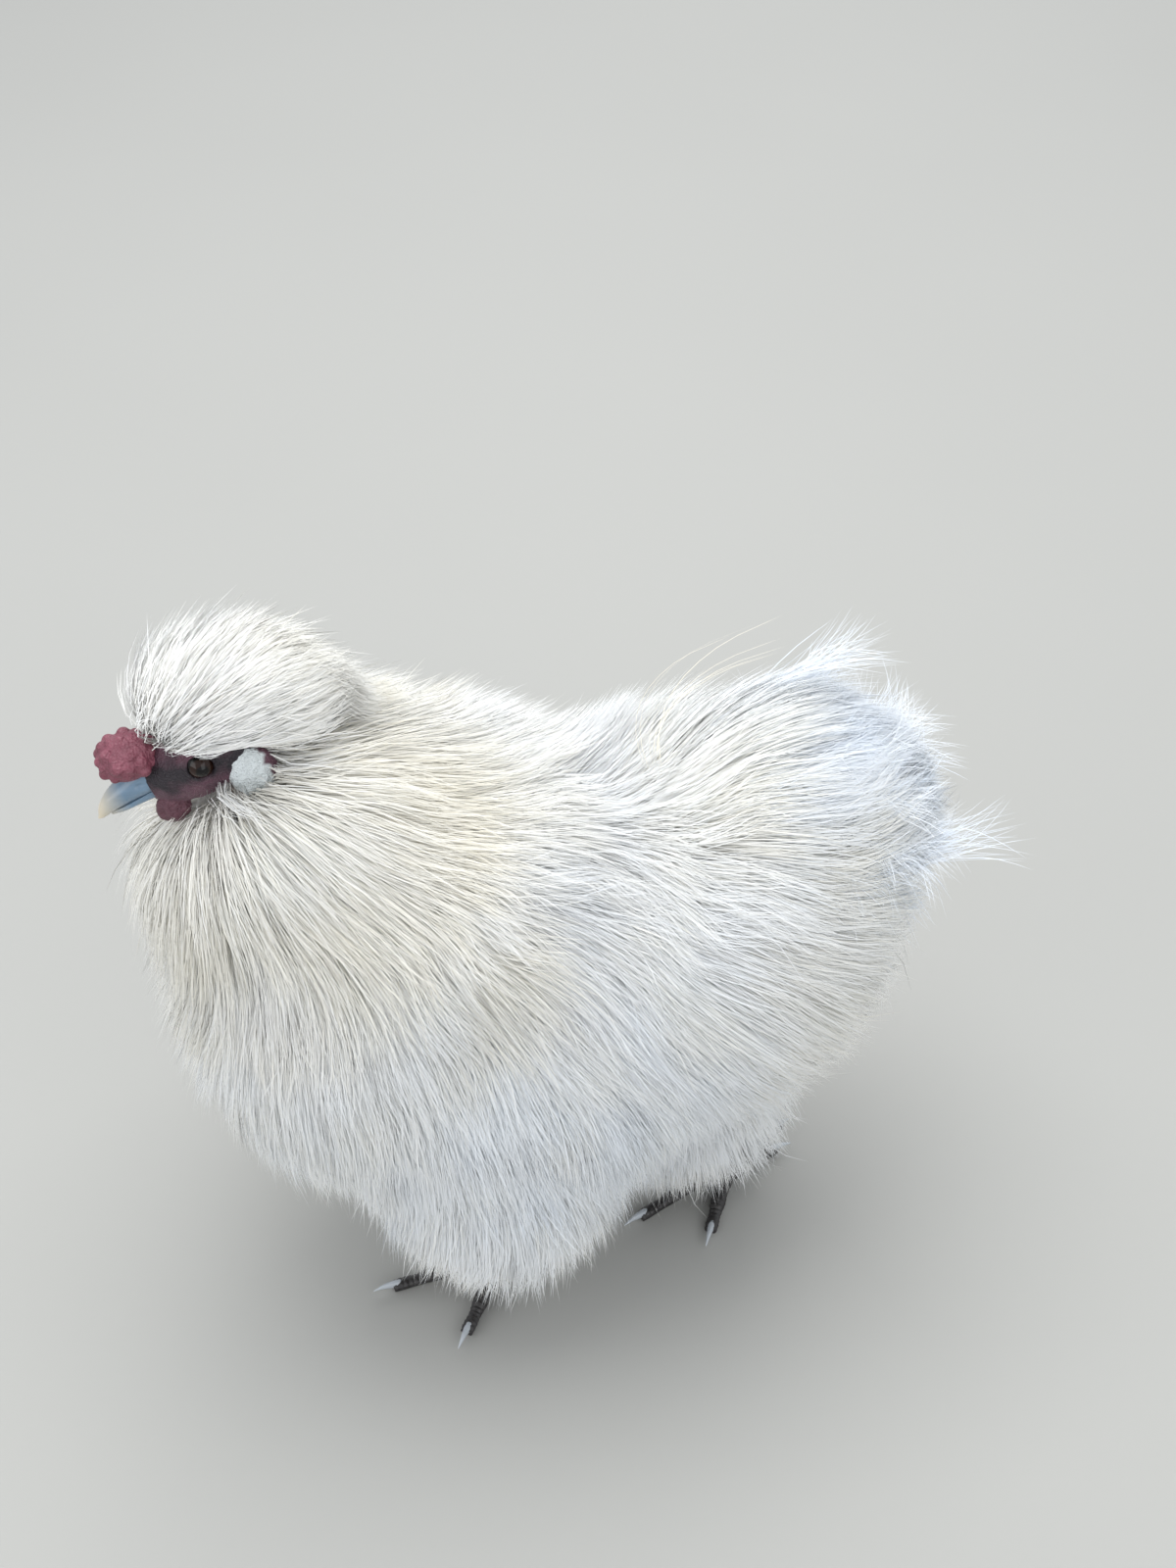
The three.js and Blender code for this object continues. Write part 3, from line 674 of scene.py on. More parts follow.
def strands(clumps, rng, per_clump, radius, stations, pull=0.3, stray=0.12):
    """Strands round the middle lines of clumps, drawn together towards the tips."""
    owner = np.repeat(np.arange(len(clumps.lines)), per_clump)
    total = len(owner)
    spread = radius * np.sqrt(rng.uniform(0, 1, (total, 1)))
    turn = rng.uniform(0, 2 * math.pi, (total, 1))
    length = rng.uniform(0.6, 1.0, (total, 1))
    s = np.linspace(0, 1, stations)[None, :] * length
    steps = clumps.lines.shape[1]
    low = np.minimum((s * (steps - 1)).astype(int), steps - 2)
    part = (s * (steps - 1) - low)[..., None]

    def read(track):
        return track[owner[:, None], low] * (1 - part) + track[owner[:, None], low + 1] * part

    line, across, along, out = map(read, (clumps.lines, clumps.across, clumps.along, clumps.out))
    gather = (1 - pull * s**1.3)[..., None]
    loose = (rng.uniform(0, 1, (total, 1)) < stray) * rng.normal(0, 1, (total, 1))
    wave = rng.normal(0, 0.9, (total, 1)) * np.sin(3 * s + rng.uniform(0, 6.3, (total, 1))) * s
    aside = spread * np.cos(turn) + 0 * s
    ahead = spread * np.sin(turn) + 0 * s
    points = line + across * (aside[..., None] * gather + (wave + 6 * loose * s**2)[..., None])
    points += along * ahead[..., None] * gather
    rise = rng.normal(0, 1.5, (total, 1)) * s + 0.6 * wave + 2.5 * np.abs(loose) * s**2
    points += out * rise[..., None]
    # Painted shade: each strand darkens towards its root, deep in the coat; the random part is tone.
    shade = np.clip(clumps.shade[owner, None] + rng.normal(0, 0.05, (total, 1)) + 0.25 * (1 - s) ** 2, 0, 1)
    tints = {
        "shade": shade,
        "cream": np.clip(clumps.cream[owner, None] + rng.normal(0, 0.08, (total, 1)), 0, 1) + 0 * s,
        "cool": clumps.cool[owner, None] + 0 * s,
    }
    return points, out, tints, clumps.place[owner]


def brush(base, tip, splay, count, stations, rng):
    """A loose tail feather: fine barbs that leave a shaft one after another and spread towards its tip."""
    base, span = np.array(base, float), np.array(tip, float) - base
    ahead = unit(span)
    aside = unit(np.cross(ahead, (0.0, 0.3, 1.0)))
    over = np.cross(aside, ahead)
    long = np.linalg.norm(span)
    start = rng.uniform(0, 0.66, (count, 1, 1))
    turn = rng.uniform(0, 2 * math.pi, (count, 1, 1))
    reach = long * rng.uniform(0.75, 1.05, (count, 1, 1)) * (1 - start)
    s = np.linspace(0, 1, stations)[None, :, None]
    outward = aside * np.cos(turn) + 0.4 * over * np.sin(turn)
    wave = rng.normal(0, 0.7, (count, 1, 1)) * np.sin(4 * s + turn) * s
    points = base + span * start + ahead * reach * s + outward * (splay * (0.3 + start) * s**1.4 + wave)
    points += over * (0.1 * long * np.sin(math.pi * (start + (1 - start) * s)))
    points += rng.normal(0, BRUSH_BASE, (count, 1, 3)) * (1 - 0.4 * s)
    flat = np.zeros((count, stations))
    shade = flat + rng.uniform(0, 0.3, (count, 1))
    # Painted light: these feathers carry a strong bluish skylight cast; their random darkening is tone.
    tints = {"shade": shade, "cream": flat, "cool": flat + rng.uniform(0.4, 0.9)}
    return points, np.broadcast_to(over, points.shape), tints, np.tile(TAIL.unwrap(base), (count, 1))


# The two long loose feathers of the picture, base and tip.
LONG_FEATHERS = (((-104, -22, 248), (-152, -20, 276)), ((-144, 26, 196), (-194, 24, 208)))
BRUSHES_EACH = 3  # that make up a long feather


def tail_brushes(stations, rng):
    """The loose feathers round the tail's rim, with two long ones as in the picture."""
    feathers = []
    for base, tip in LONG_FEATHERS:
        for _ in range(BRUSHES_EACH):
            feathers.append((base + rng.normal(0, 4, 3), tip + rng.normal(0, 8, 3), rng.uniform(14, 20)))
    for _ in range(SHORT_FEATHERS):
        turn = rng.uniform(0, 2 * math.pi)
        tilt = math.radians(rng.uniform(20, 85))
        rim = math.sin(tilt)
        outward = np.array([-math.cos(tilt), rim * math.cos(turn), rim * math.sin(turn)])
        root, normal = TAIL.surface(outward)
        lean = unit(0.8 * normal + np.array([-0.9, 0, 0.1]) + rng.normal(0, 0.35, 3))
        feathers.append((root - normal * 8, root + lean * rng.uniform(22, 42), rng.uniform(14, 26)))
    grown = [brush(base, tip, splay, BARBS, stations, rng) for base, tip, splay in feathers]
    points, normals, tints, place = zip(*grown)
    tints = {key: np.concatenate([tint[key] for tint in tints]) for key in tints[0]}
    return np.concatenate(points), np.concatenate(normals), tints, np.concatenate(place)


LONG_HAIRS = 8
HAIR_STATIONS = 12
# From the root over the bends to the tip.
HAIR_PATH = ((-65, 6, 245), (-64, 0, 267), (-74, -8, 281), (-96, -16, 290), (-127, -24, 292))


def long_hairs(stations, rng):
    """A few long tan strands that arch up from the back in front of the tail."""
    path = np.array(HAIR_PATH, float)
    s = np.linspace(0, 1, stations)
    middle = np.stack([eased(np.linspace(0, 1, len(path)), path[:, axis], s) for axis in range(3)], -1)
    stray = rng.normal(0, 1, (LONG_HAIRS, 1, 3)) * (8, 5, 8)
    reach = rng.uniform(0.75, 1.0, (LONG_HAIRS, 1, 1))
    points = path[0] + (middle - path[0]) * reach + stray * (0.25 + s[:, None])
    flat = np.zeros(points.shape[:2])
    tints = {"shade": flat + 0.5, "cream": flat + 1, "cool": flat}
    place = rng.uniform(0.4, 0.6, (LONG_HAIRS, 2))
    return points, np.broadcast_to(np.array([0.0, 0.6, 0.8]), points.shape), tints, place


ROLL = 0.6  # how far ribbons turn about their length, in radians
MOST_ROLL = 1.2
TAPER = 0.72  # how much a ribbon narrows before its point
LEAST_HEIGHT = 0.3  # of the coat over the floor
PATCH = 0.003  # side of a strand's patch on the unwrap


def ribbon_mesh(name, points, normals, tints, place, width, rng):
    """Tapered ribbons along the strands, each ending in a point, as one mesh."""
    total, stations, _ = points.shape
    along = unit(np.gradient(points, axis=1))
    across = unit(np.cross(along, normals))
    up = np.cross(across, along)
    roll = np.clip(rng.normal(0, ROLL, (total, 1, 1)), -MOST_ROLL, MOST_ROLL)
    across = across * np.cos(roll) + up * np.sin(roll)
    s = np.linspace(0, 1, stations)[None, :, None]
    half = 0.5 * width * rng.uniform(0.7, 1.2, (total, 1, 1)) * (1 - TAPER * s)
    left, right = (points - across * half)[:, :-1], (points + across * half)[:, :-1]

    def by_vertex(values):
        return np.concatenate([np.repeat(values[:, :-1], 2, 1), values[:, -1:]], 1).astype(np.float32)

    vertices = by_vertex(points)
    vertices[:, :-1:2], vertices[:, 1:-1:2] = left, right
    vertices[..., 2] = np.maximum(vertices[..., 2], LEAST_HEIGHT)
    soft = by_vertex(unit(0.85 * normals + 0.15 * np.cross(across, along)))
    per = 2 * stations - 1
    quads = [corner for i in range(stations - 2) for corner in (2 * i, 2 * i + 1, 2 * i + 3, 2 * i + 2)]
    pattern = np.array([*quads, per - 3, per - 2, per - 1])
    loops = (pattern[None, :] + per * np.arange(total)[:, None]).ravel()
    starts = (4 * np.arange(stations - 1)[None, :] + len(pattern) * np.arange(total)[:, None]).ravel()

    mesh = bpy.data.meshes.new(name)
    mesh.vertices.add(total * per)
    mesh.loops.add(len(loops))
    mesh.polygons.add(len(starts))
    mesh.vertices.foreach_set("co", to_row(vertices).astype(np.float32).ravel())
    mesh.loops.foreach_set("vertex_index", loops.astype(np.int32))
    mesh.polygons.foreach_set("loop_start", starts.astype(np.int32))
    mesh.polygons.foreach_set("use_smooth", np.ones(len(starts), bool))
    mesh.update(calc_edges=True)
    for key, values in tints.items():
        mesh.attributes.new(key, "FLOAT", "POINT").data.foreach_set("value", by_vertex(values).ravel())
    lasting = mesh.attributes.new("custom_normal", "FLOAT_VECTOR", "POINT")
    lasting.data.foreach_set("vector", soft.ravel())

    # Each strand is a small patch at its root's place on the form's own unwrap.
    across_patch = np.array([0, 1] * (stations - 1) + [0.5])
    down_patch = np.append(np.repeat(np.arange(stations - 1), 2) / (stations - 1), 1)
    local = np.stack([across_patch, down_patch], -1) * PATCH
    uv = (place[:, None] * (1 - PATCH) + local[None]).reshape(-1, 2)[loops]
    mesh.uv_layers.new(name="OFBake").data.foreach_set("uv", uv.astype(np.float32).ravel())
    return mesh


# Each coat piece: its growth, the side it keeps to or 0 for both, and its number of strands.
COAT_PIECES = {
    "crest_plumes": ("crest", 0, 21000),
    "hackle_plumes": ("hackle", 0, 28000),
    "breast_plumes": ("breast", 0, 25000),
    "cape_plumes": ("cape", 0, 18000),
    "saddle_plumes": ("saddle", 0, 28000),
    "tail_plumes": ("tail", 0, 26000),
    "flank_plumes_left": ("flank", 1, 27000),
    "flank_plumes_right": ("flank", -1, 19000),
    "leg_plumes_left": ("leg_left", 0, 11000),
    "leg_plumes_right": ("leg_right", 0, 10000),
}
COAT_SEED = 100
FEATHER_SEED = 300
SCATTER = 1.3  # how far roots stray from the skin's points


# Settings


def colour_setting(name, description, default):
    words = {"name": name, "description": description}
    return FloatVectorProperty(**words, subtype="COLOR", size=3, min=0, max=1, default=default)


def length_setting(name, description, millimetres):
    return FloatProperty(name=name, description=description, unit="LENGTH", default=millimetres * MM)


def angle_setting(name, description, degrees):
    return FloatProperty(name=name, description=description, unit="ROTATION", default=math.radians(degrees))


class SilkieCoat(bpy.types.PropertyGroup):
    share: FloatProperty(
        name="Share of strands",
        description="How many of the coat's strands are made",
        subtype="FACTOR",
        min=0.01,
        max=1,
        default=1,
    )
    width: length_setting("Strand width", "Width of a silky strand at its root", 0.62)
    clump: length_setting("Clump radius", "Radius of a clump of strands at its root", 6)
    per_clump: IntProperty(name="Strands", description="Strands in each clump", min=3, max=60, default=10)
    stations: IntProperty(name="Stations", description="Points along each strand", min=3, max=8, default=5)


class SilkieColours(bpy.types.PropertyGroup):
    white: colour_setting("White", "Plumage", (0.89, 0.90, 0.90))
    cream: colour_setting("Cream", "Sun-tinted plumage of hackle and saddle", (0.90, 0.83, 0.63))
    # Painted light: the bluish cast of skylight on the white coat.
    cool: colour_setting("Cool white", "Cool plumage of tail and wings", (0.78, 0.86, 0.97))
    # Painted shade: the colour of the shade deep in the coat, at the roots and between locks. It also gives
    # some strands a darker tone of their own.
    shadow: colour_setting("Shadow", "Down close to the skin", (0.74, 0.72, 0.68))
    skin: colour_setting("Skin", "Bare skin below the coat", (0.72, 0.56, 0.50))
    face: colour_setting("Face", "Bare face", (0.155, 0.07, 0.10))
    face_dark: colour_setting("Dark face", "Darker blotches of the face", (0.013, 0.008, 0.014))
    comb: colour_setting("Comb", "Comb", (0.27, 0.075, 0.11))
    wattle: colour_setting("Wattles", "Wattles", (0.15, 0.055, 0.08))
    lobe: colour_setting("Earlobe", "Earlobes", (0.80, 0.86, 0.88))
    bill: colour_setting("Bill", "Bill", (0.18, 0.28, 0.39))
    bill_tip: colour_setting("Bill tip", "Tip of the bill", (0.62, 0.55, 0.42))
    leg: colour_setting("Leg", "Scales of legs and toes", (0.024, 0.022, 0.022))
    claw: colour_setting("Claw", "Claws", (0.50, 0.54, 0.58))
    floor: colour_setting("Floor", "Floor", (0.42, 0.42, 0.40))


class SilkieStage(bpy.types.PropertyGroup):
    azimuth: angle_setting("Azimuth", "The camera's bearing", 167)
    elevation: angle_setting("Elevation", "The camera's angle over the floor", 40)
    distance: length_setting("Distance", "From the camera to its target", 1008.4)
    view_angle: angle_setting("View angle", "Angle over the picture's height", 36)


# Operators


class MakeSkin(bpy.types.Operator):
    """Make the skin under the coat as one wrapped surface"""

    bl_idname = "silkie.skin"
    bl_label = "Skin"

    def execute(self, context):
        forms = [form.inset(SKIN_DEPTH) for form in (TORSO, BREAST, CAPE, RUMP, NECK, TAIL)]
        forms += [form.inset(THIGH_SKIN_DEPTH) for form in THIGHS.values()]
        forms += [Form(CREST.centre, CREST_SKIN_HALF), head_form(NAPE_SKIN_AT, NAPE_SKIN_HALF)]
        mesh = remeshed("skin", forms, *SKIN_WRAP)
        nodes = ["torso", "neck", "crest", "tail"]
        nodes += [f"{part}_{side}" for part in ("wing", "thigh") for side in SIDES]
        dress("skin", mesh, skin_finish(context.scene.silkie_colours), nodes)
        return {"FINISHED"}


class MakeFace(bpy.types.Operator):
    """Make the bare face with its lids and folds"""

    bl_idname = "silkie.face"
    bl_label = "Face"

    def execute(self, context):
        # Places along the skull and the size of its section there, as shares of its length and its breadth.
        shares = [-0.75, -0.58, -0.3, -0.02, 0.2, 0.36, 0.46]
        sizes = [0.42, 0.76, 0.97, 1, 0.88, 0.7, 0.5]
        x = np.linspace(shares[0], shares[-1], 96)[:, None]
        size = eased(shares, sizes, x)
        turn = np.linspace(0, 2 * math.pi, 132, endpoint=False)[None, :]
        drop = np.where(x < 0, 0, -4 * x)
        out = np.stack([0 * x + 0 * turn, np.cos(turn) + 0 * x, np.sin(turn) + 0 * x], -1)
        middle = np.stack([x * SKULL_LONG + 0 * turn, 0 * x + 0 * turn, drop + 0 * turn], -1)
        half = np.stack([0 * size, SKULL_WIDE / 2 * size, SKULL_HIGH / 2 * size], -1)
        rings = middle + out * half
        rings += out * self.folds(rings)[..., None]
        points, faces = closed_rings(rings)
        # A dark stripe runs back through the eye.
        stripe = 0.8 * np.exp(-(((points[:, 2] - EYE_AT[2] + 1) / EYE_RADIUS) ** 2))
        material = face_finish(context.scene.silkie_colours)
        add_piece("face", on_head(points), faces, material, ["head"], {"stripe": stripe})
        return {"FINISHED"}

    @staticmethod
    def folds(rings):
        """Lids round the eyes, loose creases and small bumps, as a height over the skull."""
        flat = rings.reshape(-1, 3)
        from_eye = np.hypot(flat[:, 0] - EYE_AT[0], 1.12 * (flat[:, 2] - EYE_AT[2]))
        beside = np.clip(np.abs(flat[:, 1]) / 8, 0, 1)
        lid = 1.7 * np.exp(-(((from_eye - LID_RADIUS) / 1.1) ** 2))
        lid += 0.7 * np.exp(-(((from_eye - OUTER_LID_RADIUS) / 1.2) ** 2))
        socket = -SOCKET_DEPTH * (1 / (1 + np.exp((from_eye - SOCKET_RADIUS) / 0.35)))
        crease = wobble(flat * np.array([1, 1, 0.5]), 3.2, 0.55) + wobble(flat, 1.1, 0.28, 7.0)
        return ((lid + socket) * beside + crease).reshape(rings.shape[:2])


class MakeComb(bpy.types.Operator):
    """Make the walnut comb from many small bulbs"""

    bl_idname = "silkie.comb"
    bl_label = "Comb"

    def execute(self, context):
        rng = np.random.default_rng(COMB_SEED)
        cushion = head_form(COMB_AT, COMB_HALF, COMB_PITCH)
        forms = [cushion]
        for polar, count in BULB_ROWS:
            for i in range(count):
                phi = 2 * math.pi * (i + 0.5 * (polar % 4 > 1) + rng.uniform(-0.2, 0.2)) / count
                theta = math.radians(polar + rng.uniform(-5, 5))
                rim = math.sin(theta)
                direction = np.array([rim * math.cos(phi), rim * math.sin(phi), math.cos(theta)])
                point, _ = cushion.inset(BULB_INSET).surface(direction)
                forms.append(Form(point, [BULB_RADIUS * rng.uniform(*BULB_SHARES)] * 3))
        mesh = remeshed("comb_bulbs", forms, *COMB_WRAP)
        material = comb_finish("mulberry comb", context.scene.silkie_colours.comb)
        dress("comb_bulbs", mesh, material, ["comb"])
        return {"FINISHED"}


class MakeBill(bpy.types.Operator):
    """Make the two halves of the bill"""

    bl_idname = "silkie.bill"
    bl_label = "Bill"

    def execute(self, context):
        material = bill_finish(context.scene.silkie_colours)
        # Shares of the bill's length, then the middle's height, the half width and the half height there.
        upper = (
            [0, 0.28, 0.56, 0.8, 0.95, 1],
            [1, 0.6, -1, -3.4, -6.4, -8.2],
            [7, 6.2, 4.8, 3.1, 1.5, 0.4],
            [6.5, 5.8, 4.6, 3.4, 2, 0.5],
        )
        lower = ([0, 0.35, 0.65, 0.8], [-4.4, -5, -6.2, -7.2], [6, 4.6, 3, 1.2], [4, 3.4, 2.4, 1])
        for name, stations, above in (("bill_upper", upper, 1), ("bill_lower", lower, -1)):
            rings = self.rings(stations)
            self.close_on_mouth(rings, above)
            points, faces = closed_rings(rings)
            tip = np.clip((points[:, 0] - BILL_BASE) / BILL_LENGTH * 2.2 - 1.1, 0, 1)
            add_piece(name + "_horn", on_head(points), faces, material, [name], {"tip": tip})
        return {"FINISHED"}

    @staticmethod
    def rings(stations):
        shares, drops, wides, highs = stations
        s = np.linspace(0, shares[-1], 44)[:, None]
        turn = np.linspace(0, 2 * math.pi, 48, endpoint=False)[None, :]
        wide, high = eased(shares, wides, s), eased(shares, highs, s)
        x = BILL_BASE + s * BILL_LENGTH + 0 * turn
        z = eased(shares, drops, s) + high * np.sin(turn)
        y = wide * np.sign(np.cos(turn)) * np.abs(np.cos(turn)) ** 0.9
        ahead, up = NOSTRIL_AT
        long, high_there = NOSTRIL_HALF
        nostril = np.exp(-(((x - BILL_BASE - ahead) / long) ** 2) - (((z - up) / high_there) ** 2))
        return np.stack([x, y * (1 - NOSTRIL_DEPTH * nostril), z], -1)

    @staticmethod
    def close_on_mouth(rings, above):
        """Flattens a half against the slanted line of the mouth."""
        slope = math.tan(math.radians(MOUTH_PITCH))
        mouth = -MOUTH_DROP - (rings[..., 0] - BILL_BASE) * slope + above * MOUTH_GAP
        beyond = (rings[..., 2] - mouth) * above < 0
        rings[..., 2] = np.where(beyond, mouth, rings[..., 2])


class MakeEyes(bpy.types.Operator):
    """Make both eyes with a dark iris"""

    bl_idname = "silkie.eyes"
    bl_label = "Eyes"

    def execute(self, context):
        material = eye_finish()
        for name, side in SIDES.items():
            at = np.array(EYE_AT) * (1, side, 1)
            rings, _ = ball_points(Form((0, 0, 0), [EYE_RADIUS] * 3), 40, 28)
            local = rings.copy()
            outward = local[..., 1] * side / EYE_RADIUS
            cornea = np.clip((outward - CORNEA_FROM) / (1 - CORNEA_FROM), 0, 1)
            local[..., 1] += side * CORNEA_BULGE * cornea**2
            points, faces = closed_rings(local)
            out = points[:, 1] * side / EYE_RADIUS
            iris = ((out > IRIS[0]) & (out < IRIS[1])).astype(float)
            points = on_head(points + at)
            add_piece("eyeball_" + name, points, faces, material, ["eye_" + name], {"iris": iris})
        return {"FINISHED"}


class MakeLobes(bpy.types.Operator):
    """Make earlobes and wattles"""

    bl_idname = "silkie.lobes"
    bl_label = "Earlobes and wattles"

    def execute(self, context):
        colours = context.scene.silkie_colours
        wattle = comb_finish("dark wattle", colours.wattle)
        kinds = (
            ("earlobe", LOBE_AT, LOBE_HALF, LOBE_PITCH, lobe_finish(colours), "lobe_skin"),
            ("wattle", WATTLE_AT, WATTLE_HALF, WATTLE_PITCH, wattle, "comb_skin"),
        )
        for kind, at, half, pitch, material, slot in kinds:
            for name, side in SIDES.items():
                rings, normals = ball_points(head_form(np.array(at) * (1, side, 1), half, pitch), 56, 40)
                flat = rings.reshape(-1, 3)
                crease = wobble(flat * (1, 1, 0.45), 2.4, 0.9, side) + wobble(flat, 1.0, 0.3)
                rings = rings + normals * crease.reshape(rings.shape[:2])[..., None]
                points, faces = closed_rings(rings)
                back = -((points - np.array(HEAD_AT)) @ HEAD_TURN - at)[:, 0] / half[0]
                rim = np.clip((back + wobble(points, 3, 0.3) - 0.55) / 0.15, 0, 1)
                attributes = {"rim": rim} if kind == "earlobe" else None
                node = f"{kind}_{name}"
                add_piece(node + "_skin", points, faces, material, [node], attributes)
        return {"FINISHED"}


def heading_of(leg, toe):
    """The way a toe points on the floor."""
    angle = math.radians(leg["turn"] - leg["side"] * toe["angle"])
    return np.array([math.cos(angle), math.sin(angle), 0.0])


def rings_along(line, radii_wide, radii_high, sides, wide):
    """Elliptical rings across a line of points."""
    along = unit(np.gradient(line, axis=0))
    across = unit(wide - (along @ wide)[:, None] * along)
    up = np.cross(along, across)
    turn = np.linspace(0, 2 * math.pi, sides, endpoint=False)[None, :, None]
    rings = line[:, None] + across[:, None] * np.cos(turn) * radii_wide[:, None, None]
    return rings + up[:, None] * np.sin(turn) * radii_high[:, None, None], np.sin(turn)[..., 0]


def raised(rings, line, radius, height):
    """Rings round a line, with the height of the scutes added to their radius."""
    middle = line[:, None]
    return middle + (rings - middle) * (1 + (height - SCUTE_SINK) / radius[:, None])[..., None]


class MakeLegs(bpy.types.Operator):
    """Make shanks, feet and their scutes"""

    bl_idname = "silkie.legs"
    bl_label = "Legs"

    def execute(self, context):
        material = leg_finish(context.scene.silkie_colours)
        for name, leg in LEGS.items():
            foot = np.array([*leg["foot"], 0.0])
            parts = [self.toe(leg, toe) for toe in TOES.values()]
            parts.append(self.pad(foot))
            self.join(f"toes_{name}", parts, material, [f"foot_{name}"])
            self.join(f"scaled_shank_{name}", [self.shank(leg)], material, [f"shank_{name}"])
        return {"FINISHED"}

    @staticmethod
    def scutes(distance, spacing, top):
        """Height and groove depth of overlapping plates along a distance, on the upper side."""
        phase = (distance / spacing) % 1
        plate = np.clip(phase / 0.12, 0, 1) * (1 - 0.75 * phase)
        groove = np.exp(-((np.minimum(phase, 1 - phase) / 0.08) ** 2))
        upper = np.clip(top * 2.2 + 0.5, 0, 1)
        return SCUTE_HEIGHT * plate * upper, groove * (0.3 + 0.7 * upper)

    def toe(self, leg, toe):
        ahead = heading_of(leg, toe)
        count = 120
        s = np.linspace(0, 1, count)
        knuckles = 1 + 0.09 * np.cos(2 * math.pi * 3.2 * s)
        radius = TOE_RADIUS * (1 - 0.4 * s) * knuckles * 0.96
        base = np.array([*leg["foot"], 0.0])
        low = np.full(count, float(HIGH_TOE_FROM)) if toe["rise"] else radius - FLOOR_FLAT
        arch = toe["rise"] * s**2 if toe["rise"] else 3.2 * (1 - s) ** 2 + 1.2 * np.sin(math.pi * s)
        line = base + ahead * (toe["length"] * s)[:, None]
        line[:, 2] = low + arch
        rings, top = rings_along(line, radius, 0.95 * radius, 28, np.cross(ahead, (0, 0, 1)))
        height, groove = self.scutes(toe["length"] * s[:, None], TOE_SCUTE, -top)
        rings = raised(rings, line, radius, height)
        rings[..., 2] = np.maximum(rings[..., 2], 0)
        return rings, groove

    @staticmethod
    def pad(foot):
        rings, _ = ball_points(Form(foot + (0, 0, TOE_RADIUS + 0.6), (8, 8, TOE_RADIUS + 2.4)), 28, 20)
        rings[..., 2] = np.maximum(rings[..., 2], 0)
        return rings, np.zeros(rings.shape[:2])

    def shank(self, leg):
        top, bottom = np.array(leg["hock"], float), np.array([*leg["foot"], TOE_RADIUS + 4.0])
        s = np.linspace(0, 1, 160)
        line = top + (bottom - top) * s[:, None]
        radius = SHANK_RADIUS * (1 + 0.25 * np.abs(2 * s - 1) ** 3)
        rings, top_side = rings_along(line, 0.86 * radius, radius, 32, np.array([0, 1.0, 0]))
        front = -top_side if (bottom - top)[0] < 0 else top_side
        height, groove = self.scutes(np.linalg.norm(bottom - top) * s[:, None], SHANK_SCUTE, front)
        return raised(rings, line, radius, height), groove

    @staticmethod
    def join(name, parts, material, nodes):
        points, faces = joined(rings for rings, _ in parts)
        grooves = [depth for _, groove in parts for depth in (*groove.ravel(), 0, 0)]
        add_piece(name, points, faces, material, nodes, {"groove": grooves})


class MakeClaws(bpy.types.Operator):
    """Make the claws"""

    bl_idname = "silkie.claws"
    bl_label = "Claws"

    def execute(self, context):
        material = claw_finish(context.scene.silkie_colours)
        for name, leg in LEGS.items():
            for toe_name, toe in TOES.items():
                points, faces, tip = self.claw(leg, toe)
                node = f"claw_{name}_{toe_name}"
                add_piece(node + "_horn", points, faces, material, [node], {"tip": tip})
        return {"FINISHED"}

    @staticmethod
    def claw(leg, toe):
        ahead = heading_of(leg, toe)
        s = np.linspace(0, 1, 26)
        rise = toe["rise"]
        climb = HIGH_TOE_FROM + 0.86 * rise + 9 * s - 3 * s**2
        arch = 3.1 + 1.6 * np.sin(0.8 * math.pi * s) - 2 * s
        reach = CLAW_LENGTH * (0.6 if rise else 1)
        line = np.array([*leg["foot"], 0.0]) + ahead * (toe["length"] - 3 + reach * s)[:, None]
        line[:, 2] = climb if rise else arch
        radius = CLAW_RADIUS * (1 - 0.9 * s**1.2)
        sides = 18
        rings, _ = rings_along(line, 0.8 * radius, radius, sides, np.cross(ahead, (0, 0, 1)))
        rings[..., 2] = np.maximum(rings[..., 2], 0.05)
        points, faces = closed_rings(rings)
        return points, faces, np.append(np.repeat(s, sides), [0, 1])


